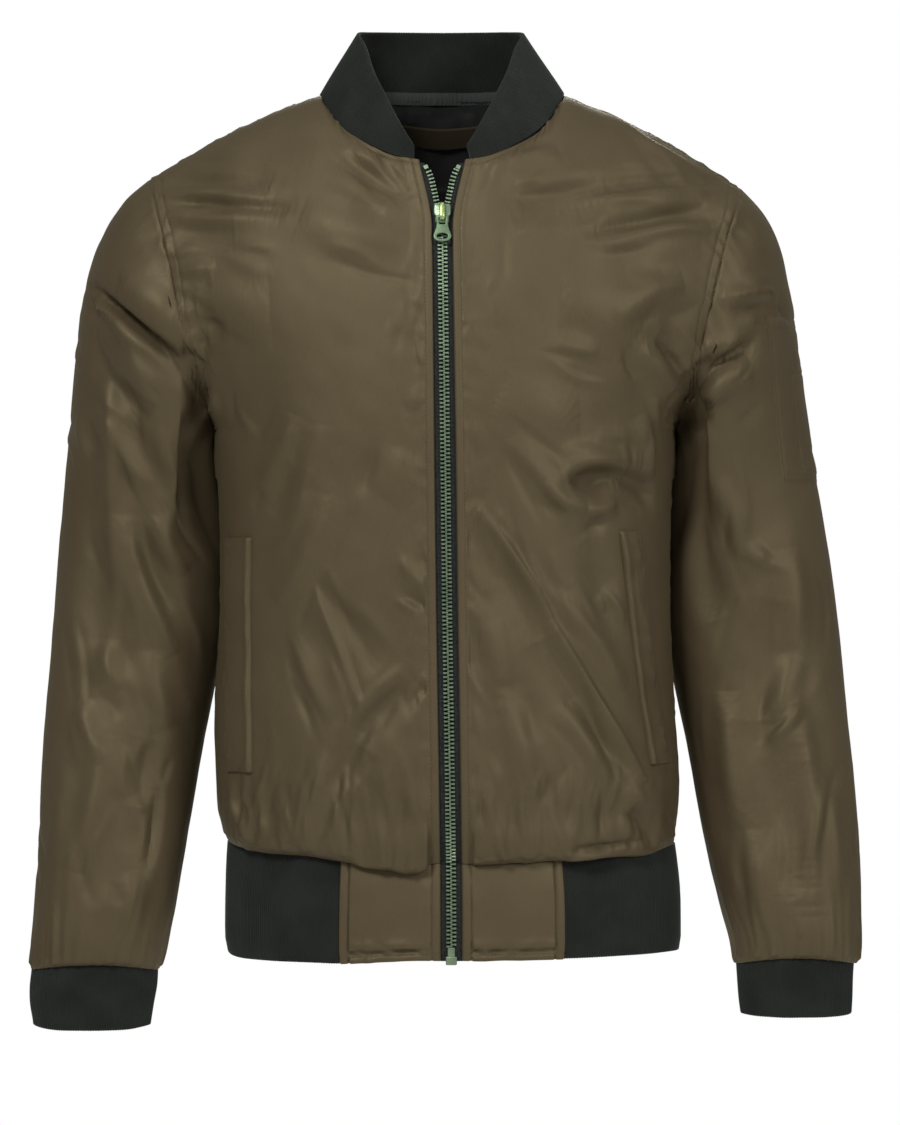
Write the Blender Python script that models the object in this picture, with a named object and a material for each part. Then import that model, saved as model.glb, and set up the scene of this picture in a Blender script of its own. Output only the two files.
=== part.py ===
"""A man's bomber jacket, zipped up and filled out as it hangs on a wearer.

Frame: +Z up, the front faces -Y, the wearer's left is +X. The origin is on the line between the two
neck points of the shoulder seams, where the wearer's shoulders carry the jacket.
Sizes are in millimetres and the meshes in metres. Each piece that is cut and sewn is one closed wall.
"""

import math
from collections import namedtuple

import bmesh
import bpy
import numpy as np
from mathutils import Matrix, Vector

MM = 0.001
RIGHT, LEFT = -1, 1  # the wearer's right is -X
FRONT, BACK = -1, 1
SIDE_NAMES = {RIGHT: "right", LEFT: "left"}

# Walls
SHELL_THICK = 2.2
RIB_THICK = 2.8
LINING_THICK = 1.2
TAPE_THICK = 1.0
WELT_THICK = 2.0
PATCH_THICK = 1.6
SEAM_GAP = 0.4  # between two pieces at a seam
LAY_GAP = 0.35  # between a piece and the panel it lies on
WELT_LIFT = 0.8
ARMHOLE_STEP = 0.3  # the sleeve's first ring stands off the body by this

# Heights, measured down from the neck points
SEAM_Z = -596.0  # where the shell is sewn to the waistband
UNDERARM_Z = -262.0
FRONT_NECK_Z = -54.5
BACK_NECK_Z = 10.0

SHOULDER_LEVEL = 1.3  # from here up the panels turn into the neckline and the shoulder seam
PULL_SPREAD = 0.3  # how widely the corner between those two is evened out below it
BOXINESS = 0.9  # the exponent of the torso's sections: 1 is an ellipse, less is squarer

# The zip and the middle between the sides lean to the wearer's left towards the hem
Lean = namedtuple("Lean", "z zip_x body_x")
LEAN = (
    Lean(-680, 5.0, 6.0), Lean(-640, 5.0, 6.0), Lean(-596, 4.7, 5.2), Lean(-577, 4.4, 3.6),
    Lean(-530, 3.8, 2.0), Lean(-480, 3.0, 0.0), Lean(-420, 2.0, 0.0), Lean(-300, 0.5, 0.0),
    Lean(-200, -0.8, -0.8), Lean(-100, -2.0, -2.0), Lean(60, -2.0, -2.0),
)

# The torso's horizontal sections
Torso = namedtuple("Torso", "z half_width front back")
TORSO = (
    Torso(-596, 176.0, 117.5, 112.0),
    Torso(-588, 177.5, 122.0, 116.5),
    Torso(-577, 179.0, 126.5, 120.5),
    Torso(-553, 182.2, 131.0, 124.5),
    Torso(-529, 183.0, 131.5, 125.0),
    Torso(-500, 182.5, 131.0, 122.0),
    Torso(-458, 179.7, 129.0, 116.5),
    Torso(-400, 177.0, 128.0, 113.0),
    Torso(-350, 177.0, 129.0, 115.0),
    Torso(-300, 179.0, 130.0, 119.0),
    Torso(-262, 182.0, 130.0, 122.0),
    Torso(-200, 182.0, 126.5, 126.0),
    Torso(-150, 182.0, 119.0, 125.0),
    Torso(-100, 182.0, 107.0, 116.0),
    Torso(-54, 182.0, 92.5, 102.0),
    Torso(10, 182.0, 92.5, 77.0),
)

# Half the width of the zip opening, wider where the zip is undone
Gap = namedtuple("Gap", "z half_width")
ZIP_GAP = (
    Gap(-672, 8.2), Gap(-300, 8.2), Gap(-112, 8.2), Gap(-104, 8.3),
    Gap(-91, 10.0), Gap(-71, 14.0), Gap(-54.5, 18.0), Gap(60, 18.0),
)

# The collar from its front end to the centre back: its foot on the neckline and its free edge
Neck = namedtuple("Neck", "foot_x foot_y foot_z top_x top_y top_z")
NECK = (
    Neck(18.0, -92.5, -54.5, 19.0, -95.0, -49.0),
    Neck(38.0, -88.5, -50.5, 32.0, -87.0, -25.0),
    Neck(58.0, -78.0, -41.0, 43.5, -75.0, -2.0),
    Neck(76.0, -60.0, -28.5, 53.0, -58.0, 19.0),
    Neck(88.0, -35.0, -14.0, 59.0, -37.0, 38.5),
    Neck(96.5, -4.0, 3.0, 65.0, -12.0, 51.0),
    Neck(93.0, 26.0, 8.5, 63.5, 15.0, 56.0),
    Neck(80.0, 51.0, 10.5, 54.0, 38.0, 58.5),
    Neck(54.0, 68.0, 10.5, 37.0, 53.0, 60.0),
    Neck(28.0, 75.0, 10.0, 19.0, 60.0, 60.5),
    Neck(0.0, 77.0, 10.0, 0.0, 62.0, 60.5),
)
SHOULDER_SAG = np.array([0.0, -6.0, 4.5])  # how the shoulder seam's middle stands off a straight line
COLLAR_BOW = 0.8  # how far the collar's middle stands out from a flat band

# The sleeves' rings from the armhole to the cuff seam: the outermost and innermost points,
# how far back the middle lies, half the depth, and how far the seam arches up at front and back
Ring = namedtuple("Ring", "outer_x outer_z inner_x inner_z mid_y depth arch")
SLEEVES = {
    RIGHT: (
        Ring(233.0, -62, 181.7, -262, 0, 65, 0),
        Ring(257.5, -83, 182.2, -276, 6, 69, 0),
        Ring(276.0, -116, 181.2, -291, 14, 71, 0),
        Ring(288.3, -162, 178.5, -314, 23, 70, 0),
        Ring(295.0, -216, 175.5, -345, 32, 67, 0),
        Ring(301.0, -276, 173.5, -382, 38, 63, 0),
        Ring(307.2, -342, 174.0, -420, 40, 60, 0),
        Ring(312.7, -415, 183.0, -462, 35, 57, 0),
        Ring(317.3, -490, 192.5, -512, 25, 53, 0),
        Ring(321.0, -562, 201.0, -570, 13, 49, 0),
        Ring(323.0, -628, 211.5, -628, 2, 45, 0),
        Ring(325.0, -667, 220.5, -667, -4, 40, 3),
        Ring(326.0, -686, 227.0, -686, -6, 30, 6),
    ),
    LEFT: (
        Ring(231.5, -68.5, 182.3, -262, 0, 65, 0),
        Ring(252.5, -91, 182.6, -276, 6, 69, 0),
        Ring(267.0, -121, 181.2, -291, 14, 71, 0),
        Ring(276.0, -166, 178.5, -314, 23, 70, 0),
        Ring(282.5, -219, 175.5, -345, 32, 67, 0),
        Ring(291.5, -280, 173.5, -382, 38, 63, 0),
        Ring(303.3, -343, 174.0, -420, 40, 60, 0),
        Ring(312.3, -415, 182.5, -462, 35, 57, 0),
        Ring(319.3, -490, 193.0, -512, 25, 53, 0),
        Ring(325.0, -562, 203.5, -570, 13, 49, 0),
        Ring(328.0, -626, 216.0, -628, 2, 45, 0),
        Ring(326.5, -661, 226.0, -662, -4, 40, 3),
        Ring(323.0, -681, 229.5, -681, -6, 30, 6),
    ),
}

Cuff = namedtuple("Cuff", "outer_x inner_x z depth arch lift")
CUFFS = {
    RIGHT: (
        Cuff(326.5, 226.5, -686.4, 30.0, 6, 0),
        Cuff(328.0, 227.0, -700.0, 30.5, 3, 0),
        Cuff(327.0, 230.0, -718.0, 29.5, 0, 2),
        Cuff(324.5, 233.5, -733.0, 27.0, 0, 6),
    ),
    LEFT: (
        Cuff(323.0, 229.5, -681.4, 30.0, 6, 0),
        Cuff(322.0, 230.5, -695.0, 30.5, 3, 0),
        Cuff(321.5, 232.0, -711.0, 29.5, 0, 2),
        Cuff(320.5, 234.5, -725.5, 27.0, 0, 5),
    ),
}

# The waistband
TAB_HALF_WIDTH = 87.0  # from the midline to the side edge of each shell-cloth tab
Band = namedtuple("Band", "z half_width front back")
WAISTBAND = (
    Band(-596.4, 176.0, 117.5, 112.0),
    Band(-615.0, 178.3, 120.0, 114.0),
    Band(-645.0, 179.7, 120.5, 114.5),
    Band(-664.0, 179.5, 119.5, 113.5),
    Band(-671.0, 178.0, 118.0, 112.0),
)

# The side pockets' welts: the opening edge at its two ends, seen from the front, and the seen width
Welt = namedtuple("Welt", "side top_x top_z bottom_x bottom_z seen_width")
WELTS = (
    Welt(RIGHT, 150.5, -346.0, 150.5, -528.0, 20.5),
    Welt(LEFT, 133.0, -341.0, 155.5, -522.0, 16.0),
)

# The patch pocket on the left sleeve and the pen pocket on it, in degrees round the sleeve from its
# outer line: negative is behind, positive in front
Patch = namedtuple("Patch", "name from_deg to_deg bottom_z top_z lift")
SLEEVE_POCKETS = (
    Patch("sleeve_pocket", -58, 56, -303.0, -172.0, 1.2),
    Patch("pen_pocket", -50, 38, -299.0, -207.0, 2.0 + PATCH_THICK),
)

# The largest folds. A positive depth is a ridge and a negative one a trough. The ends are seen from
# the front, or from behind for a fold on the back; bow bends the middle to the side.
Fold = namedtuple("Fold", "face x0 z0 x1 z1 bow width depth")
FOLDS = (
    # right sleeve
    Fold(FRONT, -282, -152, -192, -238, -6, 20, -11.2),
    Fold(FRONT, -270, -142, -205, -200, -4, 21, 6.2),
    Fold(FRONT, -270, -166, -226, -238, 3, 20, 5.6),
    Fold(FRONT, -268, -240, -230, -300, 4, 20, -5.6),
    Fold(FRONT, -250, -318, -214, -365, -4, 20, 6.2),
    Fold(FRONT, -262, -400, -256, -510, -4, 21, 5.0),
    Fold(FRONT, -282, -470, -262, -560, 5, 20, -4.4),
    Fold(FRONT, -226, -540, -240, -640, -3, 19, -4.4),
    # left sleeve
    Fold(FRONT, 184, -256, 236, -190, -5, 20, -11.2),
    Fold(FRONT, 196, -226, 232, -176, -3, 19, 6.2),
    Fold(FRONT, 206, -262, 246, -205, -3, 20, 5.6),
    Fold(FRONT, 216, -162, 264, -146, 5, 19, 5.0),
    Fold(FRONT, 262, -345, 276, -470, 6, 21, 5.6),
    Fold(FRONT, 276, -470, 286, -600, -6, 21, -4.4),
    Fold(FRONT, 240, -515, 276, -470, 4, 20, 5.0),
    # right front
    Fold(FRONT, -216, -90, -92, -98, 4, 18, -5.6),
    Fold(FRONT, -196, -160, -104, -146, 8, 19, -5.0),
    Fold(FRONT, -20, -470, -112, -560, 10, 20, 6.9),
    Fold(FRONT, -88, -358, -134, -408, 4, 19, 5.0),
    Fold(FRONT, -102, -384, -66, -478, 4, 18, -5.6),
    Fold(FRONT, -34, -466, -108, -568, 4, 19, -5.0),
    # left front
    Fold(FRONT, 205, -104, 60, -118, -4, 19, -5.6),
    Fold(FRONT, 20, -80, 190, -76, -4, 19, 5.0),
    Fold(FRONT, 84, -298, 158, -304, -12, 18, -8.1),
    Fold(FRONT, 90, -284, 160, -282, -8, 18, 5.6),
    Fold(FRONT, 28, -342, 148, -530, 8, 20, 6.2),
    Fold(FRONT, 94, -470, 136, -530, 4, 19, -5.6),
    Fold(FRONT, 26, -400, 88, -512, 6, 20, -5.6),
    Fold(FRONT, 190, -200, 166, -236, -5, 18, -5.0),
    # back
    Fold(BACK, -200, -150, -90, -110, 6, 21, -5.6),
    Fold(BACK, 200, -150, 80, -112, -6, 21, -5.6),
    Fold(BACK, -150, -250, -40, -330, -10, 21, 6.2),
    Fold(BACK, 150, -250, 50, -340, 10, 21, 6.2),
    Fold(BACK, -130, -380, -60, -560, 10, 20, -5.6),
    Fold(BACK, 120, -400, 40, -560, -10, 20, -5.6),
    Fold(BACK, -30, -420, 20, -570, 8, 20, 5.0),
    Fold(BACK, -268, -172, -205, -256, -6, 20, -8.8),
    Fold(BACK, 262, -180, 205, -256, 6, 20, -8.8),
    Fold(BACK, -280, -360, -220, -420, 6, 20, 6.2),
    Fold(BACK, 284, -380, 222, -430, -6, 20, 6.2),
    Fold(BACK, -276, -470, -250, -590, 5, 20, -5.0),
    Fold(BACK, 282, -480, 252, -590, -5, 20, -5.0),
)
FOLD_STEPS = 9
FOLD_REACH = 45.0  # a fold doesn't act on cloth that lies this far behind or before it

UNDERARM_HOLD = 30.0  # folds fade out this near to the underarm
ZIP_HOLD = 24.0  # and this near to the zip

# The zip: each chain's distance from the centre line, parting above the slider
Chain = namedtuple("Chain", "z offset")
CHAIN = (
    Chain(-680, 2.0), Chain(-110, 2.0), Chain(-98, 2.0), Chain(-92, 3.2),
    Chain(-85, 4.9), Chain(-73, 7.0), Chain(-62, 9.3), Chain(-52, 12.5),
)
CHAIN_HALF_WIDTH = 1.85
CHAIN_THICK = 2.2
CHAIN_BEHIND = 1.0  # how far its face lies behind the face of the cloth
CHAIN_BOTTOM_Z = -660.4
CHAIN_TOP_Z = -61.5
TAPE_BEHIND = 3.3
TAPE_UNDERLAP = 5.0  # how far it runs on behind the cloth
TAPE_TOP_Z = -57.0
ZIP_PARTS_Z = -98.0
SLIDER_Z = -97.0
PULL_PIVOT = (-3.3, 2.1)  # the tab's crossbar, above the slider's middle and out from the cloth
PULL_THICK = 1.3
BOX_Z = -667.2

# Grid sizes
LOWER_ROWS = (0.0, 0.024, 0.06, *(0.11 + 0.07 * i for i in range(13)))
ARM_STEPS = 12  # rows from the underarm to the shoulder, and half the points round a sleeve
NECK_SHARE = 0.5  # the share of a panel's width that ends on the neckline
FRONT_NECK_COLUMNS = 8
BACK_NECK_COLUMNS = 6
SHOULDER_COLUMNS = 6
SLEEVE_ROWS = 24
COLLAR_ROWS = 3
LINING_FROM_ROW = 19
BACK_CENTRE = BACK_NECK_COLUMNS + SHOULDER_COLUMNS  # the back's middle column
LINING_INSET = 1.2  # from the edge of the back
LEVELS = np.array([*LOWER_ROWS, *(1 + np.arange(ARM_STEPS + 1) / ARM_STEPS)])
ANGLES = np.arange(2 * ARM_STEPS) * math.pi / ARM_STEPS
RINGS = np.linspace(0, 12, SLEEVE_ROWS + 1)
TORSO_AXIS = np.array([0.0, 0.0, -350.0])


# ---------------------------------------------------------------- tables and surfaces


def smooth(table, at):
    """Rows of the table's other columns, read at values of its first one along a smooth curve."""
    rows = np.array(table, float)
    knots, values = rows[:, 0], rows[:, 1:]
    at = np.atleast_1d(np.asarray(at, float))
    step = np.diff(knots)[:, None]
    rise = np.diff(values, axis=0) / step
    slope = np.vstack([rise[:1], (rise[:-1] * step[1:] + rise[1:] * step[:-1]) / (step[:-1] + step[1:]), rise[-1:]])
    i = np.clip(np.searchsorted(knots, at, "right") - 1, 0, len(knots) - 2)
    h = step[i]
    t = np.clip((at - knots[i])[:, None] / h, 0, 1)
    return (
        values[i] * (1 + 2 * t) * (1 - t) ** 2
        + slope[i] * h * t * (1 - t) ** 2
        + values[i + 1] * t * t * (3 - 2 * t)
        + slope[i + 1] * h * t * t * (t - 1)
    )


def numbered(table):
    """The table with its row number, from 0, as the first column."""
    return [(i, *row) for i, row in enumerate(table)]


def ease(t):
    t = np.clip(t, 0, 1)
    return t * t * (3 - 2 * t)


def stacked(*columns):
    return np.stack(np.broadcast_arrays(*columns), axis=-1).astype(float)


def read(table, at):
    """The table's other columns at values of its first one, each in the shape of at."""
    columns = smooth(table, np.ravel(at)).T
    return [column.reshape(np.shape(at)) for column in columns]


def zip_lean(z):
    return read(LEAN, z)[0]


def body_lean(z):
    return read(LEAN, z)[1]


def zip_gap(z):
    return read(ZIP_GAP, z)[0]


def neck(s):
    """Foot and free edge of the collar's left half at s, 0 at the front end to 1 at the centre back."""
    row = stacked(*read(numbered(NECK), np.asarray(s, float) * (len(NECK) - 1)))
    return row[..., :3], row[..., 3:]


def ring_points(row, angle, side):
    """Points of a sleeve ring: angle 0 is its outer line, a quarter turn the front."""
    outer_x, outer_z, inner_x, inner_z, mid_y, depth, arch = row
    across = np.cos(angle)
    x = (outer_x + inner_x) / 2 + across * (outer_x - inner_x) / 2
    z = (outer_z + inner_z) / 2 + across * (outer_z - inner_z) / 2 + arch * np.sin(angle) ** 2
    return stacked(side * x, mid_y - depth * np.sin(angle), z)


def armhole(side, face, turn):
    """The armhole seam at turn, 0 at the shoulder to pi under the arm, on the front or the back."""
    return ring_points(SLEEVES[side][0], -face * turn, side)


def shoulder_seam(side, w):
    """The seam from the neck point, w 0, to the top of the armhole, w 1."""
    start = neck(0.5)[0] * (side, 1, 1) + (body_lean(0.0), 0, 0)
    end = armhole(side, FRONT, 0.0)
    w = np.asarray(w, float)[..., None]
    return start + (end - start) * w + SHOULDER_SAG * (4 * w * (1 - w))


def top_edge(side, face, u):
    """The neckline and then the shoulder seam, at the panel's columns u."""
    s = np.clip(u / NECK_SHARE, 0, 1) * 0.5
    foot = neck(s if face == FRONT else 1 - s)[0] * (side, 1, 1)
    foot[..., 0] += body_lean(foot[..., 2])
    seam = shoulder_seam(side, np.clip((u - NECK_SHARE) / (1 - NECK_SHARE), 0, 1))
    return np.where((u <= NECK_SHARE)[..., None], foot, seam)


def arc(side, face, u, level):
    """Points of a panel at column u, 0 at the centre edge to 1 at the side seam or armhole.

    level is 0 at the waistband seam, 1 at the underarm and 2 at the top. The shoulders aren't formed yet.
    """
    low = np.clip(level, 0, 1)
    high = np.clip(level - 1, 0, 1)
    neck_z = FRONT_NECK_Z if face == FRONT else BACK_NECK_Z
    centre_z = SEAM_Z + low * (UNDERARM_Z - SEAM_Z) + high * (neck_z - UNDERARM_Z)
    half_width, front, back = read(TORSO, centre_z)
    centre_y = -front if face == FRONT else back
    centre_x = zip_lean(centre_z) + side * zip_gap(centre_z) if face == FRONT else body_lean(centre_z)
    seam = stacked(side * half_width + body_lean(centre_z), 0.0, centre_z)
    edge = np.where((level < 1)[..., None], seam, armhole(side, face, math.pi * (1 - high)))

    end = np.radians(90 - 42 * np.sin(high * math.pi / 2))
    turn = u * end
    out = (np.sin(turn) / np.sin(end)) ** BOXINESS
    fade = np.clip(np.cos(end), 1e-12, 1) ** BOXINESS
    toward = (np.clip(np.cos(turn), 1e-12, 1) ** BOXINESS - fade) / (1 - fade)
    x = centre_x + (edge[..., 0] - centre_x) * out
    y = edge[..., 1] + (centre_y - edge[..., 1]) * toward
    z = centre_z + (edge[..., 2] - centre_z) * u**1.6
    return stacked(x, y, z)


def top_pull(side, face, u, s):
    """How far the top edge lies from the unformed panel. Lower down, at s under 1, it is evened out along u."""
    spread = PULL_SPREAD * (1 - s) * np.clip(u / 0.2, 0, 1) * np.clip((1 - u) / 0.2, 0, 1)
    offsets = np.linspace(-1, 1, 7)
    total = 0
    for offset in offsets:
        near = np.clip(u + offset * spread, 0, 1)
        total = total + top_edge(side, face, near) - arc(side, face, near, np.full_like(near, 2.0))
    return total / len(offsets)


def torso(side, face, u, level):
    """Points of the front or back panel on one side, with its neckline and shoulder formed."""
    u, level = np.broadcast_arrays(np.asarray(u, float), np.asarray(level, float))
    points = arc(side, face, u, level)
    start = arc(side, face, u, np.full_like(u, SHOULDER_LEVEL))
    last = arc(side, face, u, np.full_like(u, 2.0))
    s = np.clip((level - SHOULDER_LEVEL) / (2 - SHOULDER_LEVEL), 0, 1)
    pull = top_pull(side, face, u, s)
    round_over = ease(u / 0.45) * (1 - ease((u - 0.72) / 0.28))

    added_z = points[..., 2] + s * pull[..., 2]
    rolled_z = start[..., 2] + (last - start + pull)[..., 2] * np.sin(s * math.pi / 2)
    share_y = s * s + (1 - np.cos(s * math.pi / 2) - s * s) * round_over
    x = points[..., 0] + pull[..., 0] * ease(s)
    y = points[..., 1] + pull[..., 1] * share_y
    z = np.where(s > 0, added_z + (rolled_z - added_z) * round_over, points[..., 2])
    return stacked(x, y, z)


def sleeve(side, angle, ring):
    """Points of a sleeve at angles round it and ring numbers down it."""
    angle, ring = np.broadcast_arrays(np.asarray(angle, float), np.asarray(ring, float))
    return ring_points(read(numbered(SLEEVES[side]), ring), angle, side)


# ---------------------------------------------------------------- grids and folds


def normals(grid, wrap):
    """Unit normals of a grid of points. wrap says that its columns close into a ring."""
    if wrap:
        ring = np.concatenate([grid[:, -1:], grid, grid[:, :1]], axis=1)
        along = np.gradient(ring, axis=1)[:, 1:-1]
    else:
        along = np.gradient(grid, axis=1)
    n = np.cross(along, np.gradient(grid, axis=0))
    return n / np.maximum(np.linalg.norm(n, axis=-1, keepdims=True), 1e-9)


def outward(grid, wrap=False, centre=TORSO_AXIS):
    """The grid's normals, all turned to the side that faces away from the centre."""
    n = normals(grid, wrap)
    return n if (n * (grid - centre)).sum() > 0 else -n


def tube_normals(grid):
    return outward(grid, True, grid.mean(axis=1, keepdims=True))


def share_seam_normals(panels):
    """Gives the points that lie together at a seam one normal, so that the walls meet in a mitre."""
    points = np.concatenate([grid.reshape(-1, 3) for grid, _ in panels.values()])
    n = np.concatenate([n.reshape(-1, 3) for _, n in panels.values()])
    _, place = np.unique(np.round(points, 1), axis=0, return_inverse=True)
    place = place.reshape(-1)
    meeting = np.flatnonzero(np.bincount(place)[place] > 1)
    together = {}
    for i in meeting:
        together.setdefault(place[i], []).append(i)
    shared = n.copy()
    for group in together.values():
        for i in group:
            total = sum(n[j] for j in group if n[i] @ n[j] > 0.2)
            shared[i] = total / np.linalg.norm(total)
    start = 0
    for name, (grid, own) in panels.items():
        count = own.size // 3
        panels[name] = grid, shared[start : start + count].reshape(own.shape)
        start += count


def base_points():
    """Every point of the torso and the sleeves before folding, with the face each is on."""
    u = np.linspace(0, 1, 40)[None, :]
    level = np.linspace(0, 2, 80)[:, None]
    angle = np.linspace(0, math.pi, 30)[None, :]
    ring = np.linspace(0, 12, 80)[:, None]
    found = {FRONT: [], BACK: []}
    for side in (RIGHT, LEFT):
        for face in (FRONT, BACK):
            found[face].append(torso(side, face, u, level).reshape(-1, 3))
            found[face].append(sleeve(side, -face * angle, ring).reshape(-1, 3))
    return {face: np.concatenate(points) for face, points in found.items()}


def fold_lines():
    """Each fold's line as points on the cloth, with its width and depth."""
    base = base_points()
    lines = []
    for fold in FOLDS:
        t = np.linspace(0, 1, FOLD_STEPS)[:, None]
        run = np.array([fold.x1 - fold.x0, fold.z1 - fold.z0])
        aside = np.array([-run[1], run[0]]) / np.linalg.norm(run)
        seen = np.array([fold.x0, fold.z0]) + t * run + fold.bow * np.sin(math.pi * t) * aside
        points = base[fold.face]
        near = ((points[None, :, [0, 2]] - seen[:, None, :]) ** 2).sum(-1).argmin(1)
        lines.append((stacked(seen[:, 0], points[near, 1], seen[:, 1]), fold.width, fold.depth))
    return lines


def folded(grid, n, lines):
    """The grid with every fold pushed out or in along the normals n."""
    points, flat = grid.reshape(-1, 3), n.reshape(-1, 3)
    push = np.zeros(len(points))
    for line, width, depth in lines:
        offsets = points[:, None, :] - line[None, :, :]
        nearest = (offsets**2).sum(-1).argmin(1)
        offset = offsets[np.arange(len(points)), nearest]
        along = np.gradient(line, axis=0)[nearest]
        along /= np.linalg.norm(along, axis=-1, keepdims=True)
        lengthwise = (offset * along).sum(-1)
        behind = (offset * flat).sum(-1)
        across = offset - lengthwise[:, None] * along - behind[:, None] * flat
        past_end = lengthwise * np.isin(nearest, (0, FOLD_STEPS - 1))
        fall = np.exp(-((across**2).sum(-1) + past_end**2) / width**2)
        taper = np.sin(math.pi * (0.12 + 0.76 * nearest / (FOLD_STEPS - 1)))
        push += depth * taper * fall * (np.abs(behind) < FOLD_REACH)
    for side in (RIGHT, LEFT):
        from_underarm = points - armhole(side, FRONT, math.pi)
        push *= 1 - np.exp(-(from_underarm**2).sum(-1) / UNDERARM_HOLD**2)
    from_zip = np.where(points[:, 1] < 0, points[:, 0] - zip_lean(points[:, 2]), 1e3)
    push *= 1 - np.exp(-(from_zip**2) / ZIP_HOLD**2)
    return (points + flat * push[:, None]).reshape(grid.shape)


def drawn_in(grid, first=0.0, last=0.0, bottom=0.0, top=0.0):
    """The grid with its edges moved in along the cloth by these lengths, which leaves the gaps at seams."""
    grid = grid.copy()
    for edge, inner, gap in ((0, 1, first), (-1, -2, last)):
        run = grid[:, inner] - grid[:, edge]
        grid[:, edge] += run / np.linalg.norm(run, axis=-1, keepdims=True) * gap
    for edge, inner, gap in ((0, 1, bottom), (-1, -2, top)):
        run = grid[inner] - grid[edge]
        grid[edge] += run / np.linalg.norm(run, axis=-1, keepdims=True) * gap
    return grid


def between(grid, row, column):
    """The grid read at rows and columns that need not be whole numbers."""
    row, column = np.broadcast_arrays(row, column)
    r = np.clip(np.floor(row).astype(int), 0, grid.shape[0] - 2)
    c = np.clip(np.floor(column).astype(int), 0, grid.shape[1] - 2)
    a, b = (row - r)[..., None], (column - c)[..., None]
    low = grid[r, c] * (1 - b) + grid[r, c + 1] * b
    high = grid[r + 1, c] * (1 - b) + grid[r + 1, c + 1] * b
    return low * (1 - a) + high * a


# ---------------------------------------------------------------- walls and objects


def material(name, colour, roughness, metallic=0.0):
    made = bpy.data.materials.new(name)
    made.use_nodes = True
    shader = made.node_tree.nodes["Principled BSDF"]
    shader.inputs["Base Color"].default_value = (*colour, 1)
    shader.inputs["Roughness"].default_value = roughness
    shader.inputs["Metallic"].default_value = metallic
    return made


def empty(name, location, parent=None):
    made = bpy.data.objects.new(name, None)
    made.empty_display_size = 0.02
    made.location = location
    made.parent = parent
    bpy.context.scene.collection.objects.link(made)
    return made


def placed(name, mesh, made_of, parent=None):
    """An object of this mesh, held by the jacket's empty unless it has another parent."""
    mesh.materials.append(made_of)
    obj = bpy.data.objects.new(name, mesh)
    obj.parent = parent or bpy.data.objects["bomber_jacket"]
    bpy.context.scene.collection.objects.link(obj)
    return obj


def mesh_of(name, points, faces):
    """A mesh from points in millimetres, turned so that its faces point out."""
    mesh = bpy.data.meshes.new(name)
    mesh.from_pydata([tuple(p) for p in np.asarray(points) * MM], [], faces)
    bm = bmesh.new()
    bm.from_mesh(mesh)
    if bm.calc_volume(signed=True) < 0:
        bmesh.ops.reverse_faces(bm, faces=bm.faces)
    bm.to_mesh(mesh)
    bm.free()
    mesh.shade_smooth()
    mesh.set_sharp_from_angle(angle=math.radians(50))
    return mesh


def wall(name, outer, inner, made_of, wrap=False):
    """A closed wall between two grids of points. wrap closes its columns into a tube."""
    rows, columns = outer.shape[:2]
    count = rows * columns
    last = columns if wrap else columns - 1

    def at(row, column):
        return row * columns + column % columns

    faces = []
    for row in range(rows - 1):
        for column in range(last):
            quad = (at(row, column), at(row, column + 1), at(row + 1, column + 1), at(row + 1, column))
            a, b, c, d = quad
            faces.append(quad)
            faces.append((count + a, count + d, count + c, count + b))
    rim = [(at(0, c + 1), at(0, c)) for c in range(last)]
    rim += [(at(rows - 1, c), at(rows - 1, c + 1)) for c in range(last)]
    if not wrap:
        rim += [(at(r, 0), at(r + 1, 0)) for r in range(rows - 1)]
        rim += [(at(r + 1, columns - 1), at(r, columns - 1)) for r in range(rows - 1)]
    faces += [(a, b, count + b, count + a) for a, b in rim]
    points = np.concatenate([outer.reshape(-1, 3), inner.reshape(-1, 3)])
    return placed(name, mesh_of(name, points, faces), made_of)


def cloth(name, grid, n, thick, made_of, wrap=False, lift=0.0):
    """A wall whose outer side is the grid moved out by lift."""
    return wall(name, grid + n * lift, grid + n * (lift - thick), made_of, wrap)


# ---------------------------------------------------------------- the shell


def panel_columns(neck_columns):
    under_neck = np.linspace(0, NECK_SHARE, neck_columns + 1)
    return np.concatenate([under_neck, np.linspace(NECK_SHARE, 1, SHOULDER_COLUMNS + 1)[1:]])[None, :]


def panels():
    """The fronts, the back and the sleeves as folded grids with their normals."""
    u = panel_columns(FRONT_NECK_COLUMNS)
    half = panel_columns(BACK_NECK_COLUMNS)
    made = {}
    for side in (RIGHT, LEFT):
        grid = torso(side, FRONT, u, LEVELS[:, None])
        made["front_" + SIDE_NAMES[side]] = grid, outward(grid)
        grid = sleeve(side, ANGLES[None, :], RINGS[:, None])
        made["sleeve_" + SIDE_NAMES[side]] = grid, tube_normals(grid)
    right = torso(RIGHT, BACK, half, LEVELS[:, None])[:, :0:-1]
    grid = np.concatenate([right, torso(LEFT, BACK, half, LEVELS[:, None])], axis=1)
    made["back"] = grid, outward(grid)
    share_seam_normals(made)
    lines = fold_lines()
    return {name: (folded(grid, n, lines), n) for name, (grid, n) in made.items()}, lines


def add_shell(shell, made):
    gap = SEAM_GAP / 2
    for side in (RIGHT, LEFT):
        grid, n = made["front_" + SIDE_NAMES[side]]
        cloth("front_" + SIDE_NAMES[side], drawn_in(grid, last=gap, top=gap), n, SHELL_THICK, shell)
        grid, n = made["sleeve_" + SIDE_NAMES[side]]
        grid = drawn_in(grid, bottom=gap)
        grid[0, :, 0] += side * ARMHOLE_STEP
        cloth("sleeve_" + SIDE_NAMES[side], grid, n, SHELL_THICK, shell, wrap=True)
    grid, n = made["back"]
    cloth("back", drawn_in(grid, first=gap, last=gap, top=gap), n, SHELL_THICK, shell)


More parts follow.
